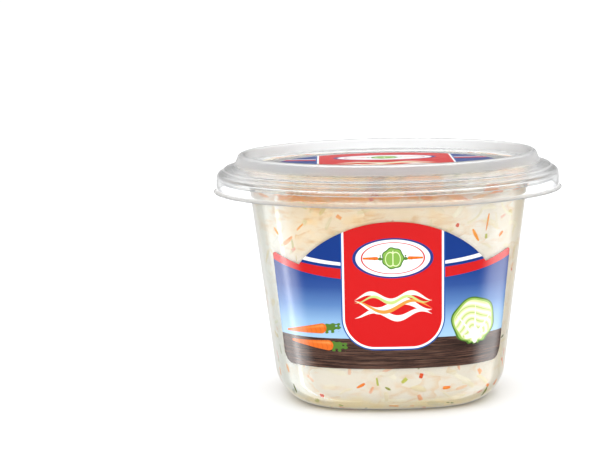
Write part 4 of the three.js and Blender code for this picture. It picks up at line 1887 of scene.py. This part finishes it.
def salad(form: TubForm) -> list[Shreds]:
    """The kinds of shreds in the salad.

    Args:
        form: The tub's form.

    Returns:
        The kinds, in the order in which they are made.
    """
    wall, top = Lie.WALL, Lie.TOP
    low, high, under_lid = (2.0, 22.0), (22.0, 68.0), (65.6, 69.4)
    return [
        Shreds(form, "cabbage_shreds", CABBAGE, (
            Batch(wall, 300, (2.5, 9), (1.0, 2.6), (0.7, 0.9), (0.1, 0.8), 0.2, soft=0.6),
            Batch(wall, 150, (4, 13), (1.2, 3.6), (0.7, 0.9), (-0.2, 0.6), 0.2, slope=1.1, soft=0.5),
            Batch(wall, 34, (5, 13), (1.6, 3.0), (0.7, 1.0), (0.3, 0.8), 0.12, under_lid, 0.35, 0.4),
            Batch(top, 430, (9, 26), (2.2, 5.6), (0.8, 1.3), (0.15, 1.0), 0.09, (-0.7, 1.7)),
        )),
        Shreds(form, "carrot_shreds", CARROT, (
            Batch(wall, 80, (1.8, 6.0), (1.2, 2.3), (0.7, 0.9), (-0.7, 0.5), 0.08, low, soft=0.6),
            Batch(wall, 76, (2.0, 8.0), (0.9, 2.0), (0.7, 0.9), (-0.4, 0.8), 0.1, high, soft=0.6),
            Batch(wall, 40, (4, 12), (1.4, 2.8), (0.7, 1.0), (-0.3, 0.7), 0.08, under_lid, 0.3, 0.4),
            Batch(top, 150, (7, 20), (1.6, 3.0), (1.1, 1.7), (-0.1, 0.65), 0.05, (-0.4, 1.8)),
        )),
        Shreds(form, "green_bits", GREENS, (
            Batch(wall, 64, (1.8, 5), (1.0, 2.0), (0.7, 0.9), (-0.8, 0.5), 0.14, low, soft=0.6),
            Batch(wall, 42, (1.8, 6), (0.9, 1.8), (0.7, 0.9), (-0.4, 0.8), 0.14, high, soft=0.6),
            Batch(top, 60, (3, 12), (1.2, 2.6), (0.6, 1.0), (-0.1, 0.4), 0.1, (0.0, 1.9)),
        )),
        Shreds(form, "pepper_bits", PEPPER, (
            Batch(wall, 52, (1.4, 3.6), (1.1, 2.2), (0.7, 0.9), (-0.8, 0.4), 0.05, low, soft=0.6),
            Batch(wall, 36, (1.4, 3.4), (0.9, 2.0), (0.7, 0.9), (-0.4, 0.7), 0.05, high, soft=0.6),
            Batch(top, 50, (2, 7), (1.2, 2.4), (0.8, 1.3), (0.0, 0.4), 0.05, (0.0, 1.9)),
        )),
    ]


# ---------------------------------------------------------------- stage


@dataclass(frozen=True)
class TentWall:
    """A bright stretch of the light tent.

    Attributes:
        glow: Its brightness.
        sides: Where it starts and ends, in degrees round the tub, 0 in front and 90 to the right.
        fade: Degrees over which it comes in at each of the two.
        heights: Sines of the lowest and the highest angle above the level that it reaches.
        soft: Sines over which it comes in at each of the two.
    """

    glow: float
    sides: Pair
    fade: Pair
    heights: Pair
    soft: Pair = (0.1, 0.15)

    def cover(self, under: Term, round_it: Term, z: Term) -> Term:
        """The brightness of the tent with this wall in it.

        Args:
            under: The brightness without this wall.
            round_it: Degrees round the tub.
            z: Sine of the angle above the level.

        Returns:
            The brightness with it.
        """
        (start, end), (low, high) = self.sides, self.heights
        aside = round_it.span(start - self.fade[0], start) * round_it.span(end + self.fade[1], end)
        above = z.span(low - self.soft[0], low) * z.span(high + self.soft[1], high)
        return under + aside * above * (self.glow - under)


@dataclass(frozen=True)
class Studio:
    """A white floor, a light tent round it and the camera.

    Attributes:
        floor_radius: Radius of the floor, in metres.
        floor_colours: The two colours that the floor drifts between.
        front: Brightness in front, low down and higher up, and front_band the sines between them.
        back: Brightness behind, higher up and low down, and back_band the sines between them.
        back_from: Degrees round the tub between which the back comes in.
        horizon: Brightness behind at the level, up to level_top.
        roof: Brightness of the roof, and roof_from the sines between which it comes in.
        walls: The tent's walls, one over another.
        focal_px: Focal length in pixels.
        frame_px: The picture's size in pixels.
        sensor: The sensor's width in millimetres.
        aim: The point in metres that falls on the pixel aim_px.
        azimuth: The camera's place round the tub.
        elevation: The camera's angle above the floor.
        roll: How far the tub leans in the picture.
        distance: Metres from the aim point to the camera.
    """

    floor_radius: float = 6.0
    floor_colours: tuple[Rgba, Rgba] = (tint(226, 227, 229), tint(230, 231, 232))
    front: Pair = (0.05, 1.65)
    front_band: Pair = (-0.05, 0.1)
    back: Pair = (0.3, 0.75)
    back_band: Pair = (-0.16, -0.1)
    back_from: Pair = (140.0, 160.0)
    horizon: float = 1.05
    level_top: Pair = (0.1, 0.03)
    roof: float = 2.05
    roof_from: Pair = (0.3, 0.6)
    walls: tuple[TentWall, ...] = (
        TentWall(5.4, (-60.0, 60.0), (25.0, 25.0), (0.0, 0.08)),
        TentWall(1.1, (-140.0, -68.0), (12.0, 8.0), (0.0, 0.5)),
        TentWall(2.4, (-118.0, -86.0), (12.0, 12.0), (-0.9, -0.2)),
        TentWall(2.5, (-97.0, -84.0), (3.0, 16.0), (-0.9, -0.2)),
        TentWall(7.0, (-99.0, -94.0), (1.5, 3.0), (-0.9, -0.2)),
        TentWall(1.2, (70.0, 140.0), (12.0, 12.0), (0.0, 0.5)),
        TentWall(2.6, (88.0, 114.0), (18.0, 12.0), (-0.9, -0.2)),
    )
    focal_px: float = 1746.0
    frame_px: tuple[int, int] = (600, 450)
    sensor: float = 36.0
    aim: Triple = (0.0, 0.0, 0.0373)
    aim_px: Pair = (388.3, 274.6)
    azimuth: float = math.radians(-2.0)
    elevation: float = math.radians(9.31)
    roll: float = math.radians(0.87)
    distance: float = 0.56

    def build(self) -> None:
        """Makes everything round the tub."""
        self.floor()
        self.world()
        self.camera()
        scene = bpy.context.scene
        scene.view_settings.view_transform = "Standard"
        scene.cycles.use_denoising = True

    def floor(self, around: int = 96, rings: int = 24) -> None:
        """A white disc under the tub, that reflections don't show.

        Args:
            around: Points in a ring.
            rings: How many rings there are.
        """
        radii = np.geomspace(0.05, self.floor_radius, rings) / MM
        skin = Skin.turned(np.stack([radii, np.zeros(rings)], -1), around, 0.0, -1.0)
        quads, caps = skin.faces
        skin.faces = [quads[:, ::-1], caps[:around, ::-1]]
        sheet = Sheet.material("floor_white")
        under, over = self.floor_colours
        colour = sheet.layers(under, (sheet.noise(3.0, 1.0), over))
        sheet.set(Base_Color=colour, Roughness=0.7)
        floor = skin.piece("floor", sheet.owner)
        floor.visible_glossy = False

    def world(self) -> None:
        """A light tent: bright walls at the sides, a bright roof, and dark cloth low in front."""
        world = bpy.data.worlds.new("light_tent")
        bpy.context.scene.world = world
        sheet = Sheet(world, "Background")
        x, y, z = sheet.split(sheet.node("TexCoord").outputs["Generated"])
        round_it = sheet.math("ARCTAN2", x, y * -1.0) * (180.0 / math.pi)
        back_share = abs(round_it).span(*self.back_from)
        above = z.span(*self.back_band)
        behind = above * (self.back[0] - self.back[1]) + self.back[1]
        behind = behind + z.span(*self.level_top) * above * (self.horizon - behind)
        ahead = z.span(*self.front_band) * (self.front[1] - self.front[0]) + self.front[0]
        glow = back_share * behind + (1.0 - back_share) * ahead
        for wall in self.walls:
            glow = wall.cover(glow, round_it, z)
        glow = glow + z.span(*self.roof_from) * (self.roof - glow)
        sheet.set(Strength=glow, Color=(1.0, 1.0, 1.0, 1.0))

    def camera(self) -> None:
        """The camera, turned so that the aim point falls on its pixel and the tub leans by the roll."""
        a, e = self.azimuth, self.elevation
        away = Vector((math.sin(a) * math.cos(e), -math.cos(a) * math.cos(e), math.sin(e)))
        level = (-away).cross(Vector((0.0, 0.0, 1.0))).normalized()
        upright = level.cross(-away)
        up = upright * math.cos(self.roll) + level * math.sin(self.roll)
        right = level * math.cos(self.roll) - upright * math.sin(self.roll)
        beside = self.aim_px[0] - self.frame_px[0] / 2
        below = self.aim_px[1] - self.frame_px[1] / 2
        look = (-away * self.focal_px - right * beside + up * below).normalized()
        right = (right - look * right.dot(look)).normalized()
        up = right.cross(look)
        lens = bpy.data.cameras.new("camera")
        lens.sensor_width = self.sensor
        lens.lens = self.focal_px * self.sensor / self.frame_px[0]
        lens.clip_start, lens.clip_end = 0.01, 60.0
        made = bpy.data.objects.new("camera", lens)
        turn = Matrix((right, up, -look)).transposed()
        made.matrix_world = Matrix.Translation(Vector(self.aim) + away * self.distance) @ turn.to_4x4()
        bpy.context.scene.collection.objects.link(made)
        bpy.context.scene.camera = made


# ---------------------------------------------------------------- the whole pack


def main() -> None:
    """Builds the pack and the studio."""
    logging.basicConfig(level=logging.INFO, format="%(name)s: %(message)s")
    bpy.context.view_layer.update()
    form = TubForm()
    draw = np.random.default_rng(SEED)
    dressing = Dressing()
    Tub(form).build(ClearPlastic("tub_clear", (0.98, 0.985, 0.975, 1.0), 0.993, 1.46, 0.015, 0.03))
    Lid().build(FrostedPlastic("lid_clear", (0.99, 0.995, 0.995, 1.0), 0.988, 1.57, 0.03, 0.0))
    SideLabel(form).build(Print("side_print"))
    LidLabel().build(LID_PRINT)
    Core(form).build(dressing)
    for kind in salad(form):
        kind.build(dressing, draw)
    Studio().build()


if __name__ == "__main__":
    main()
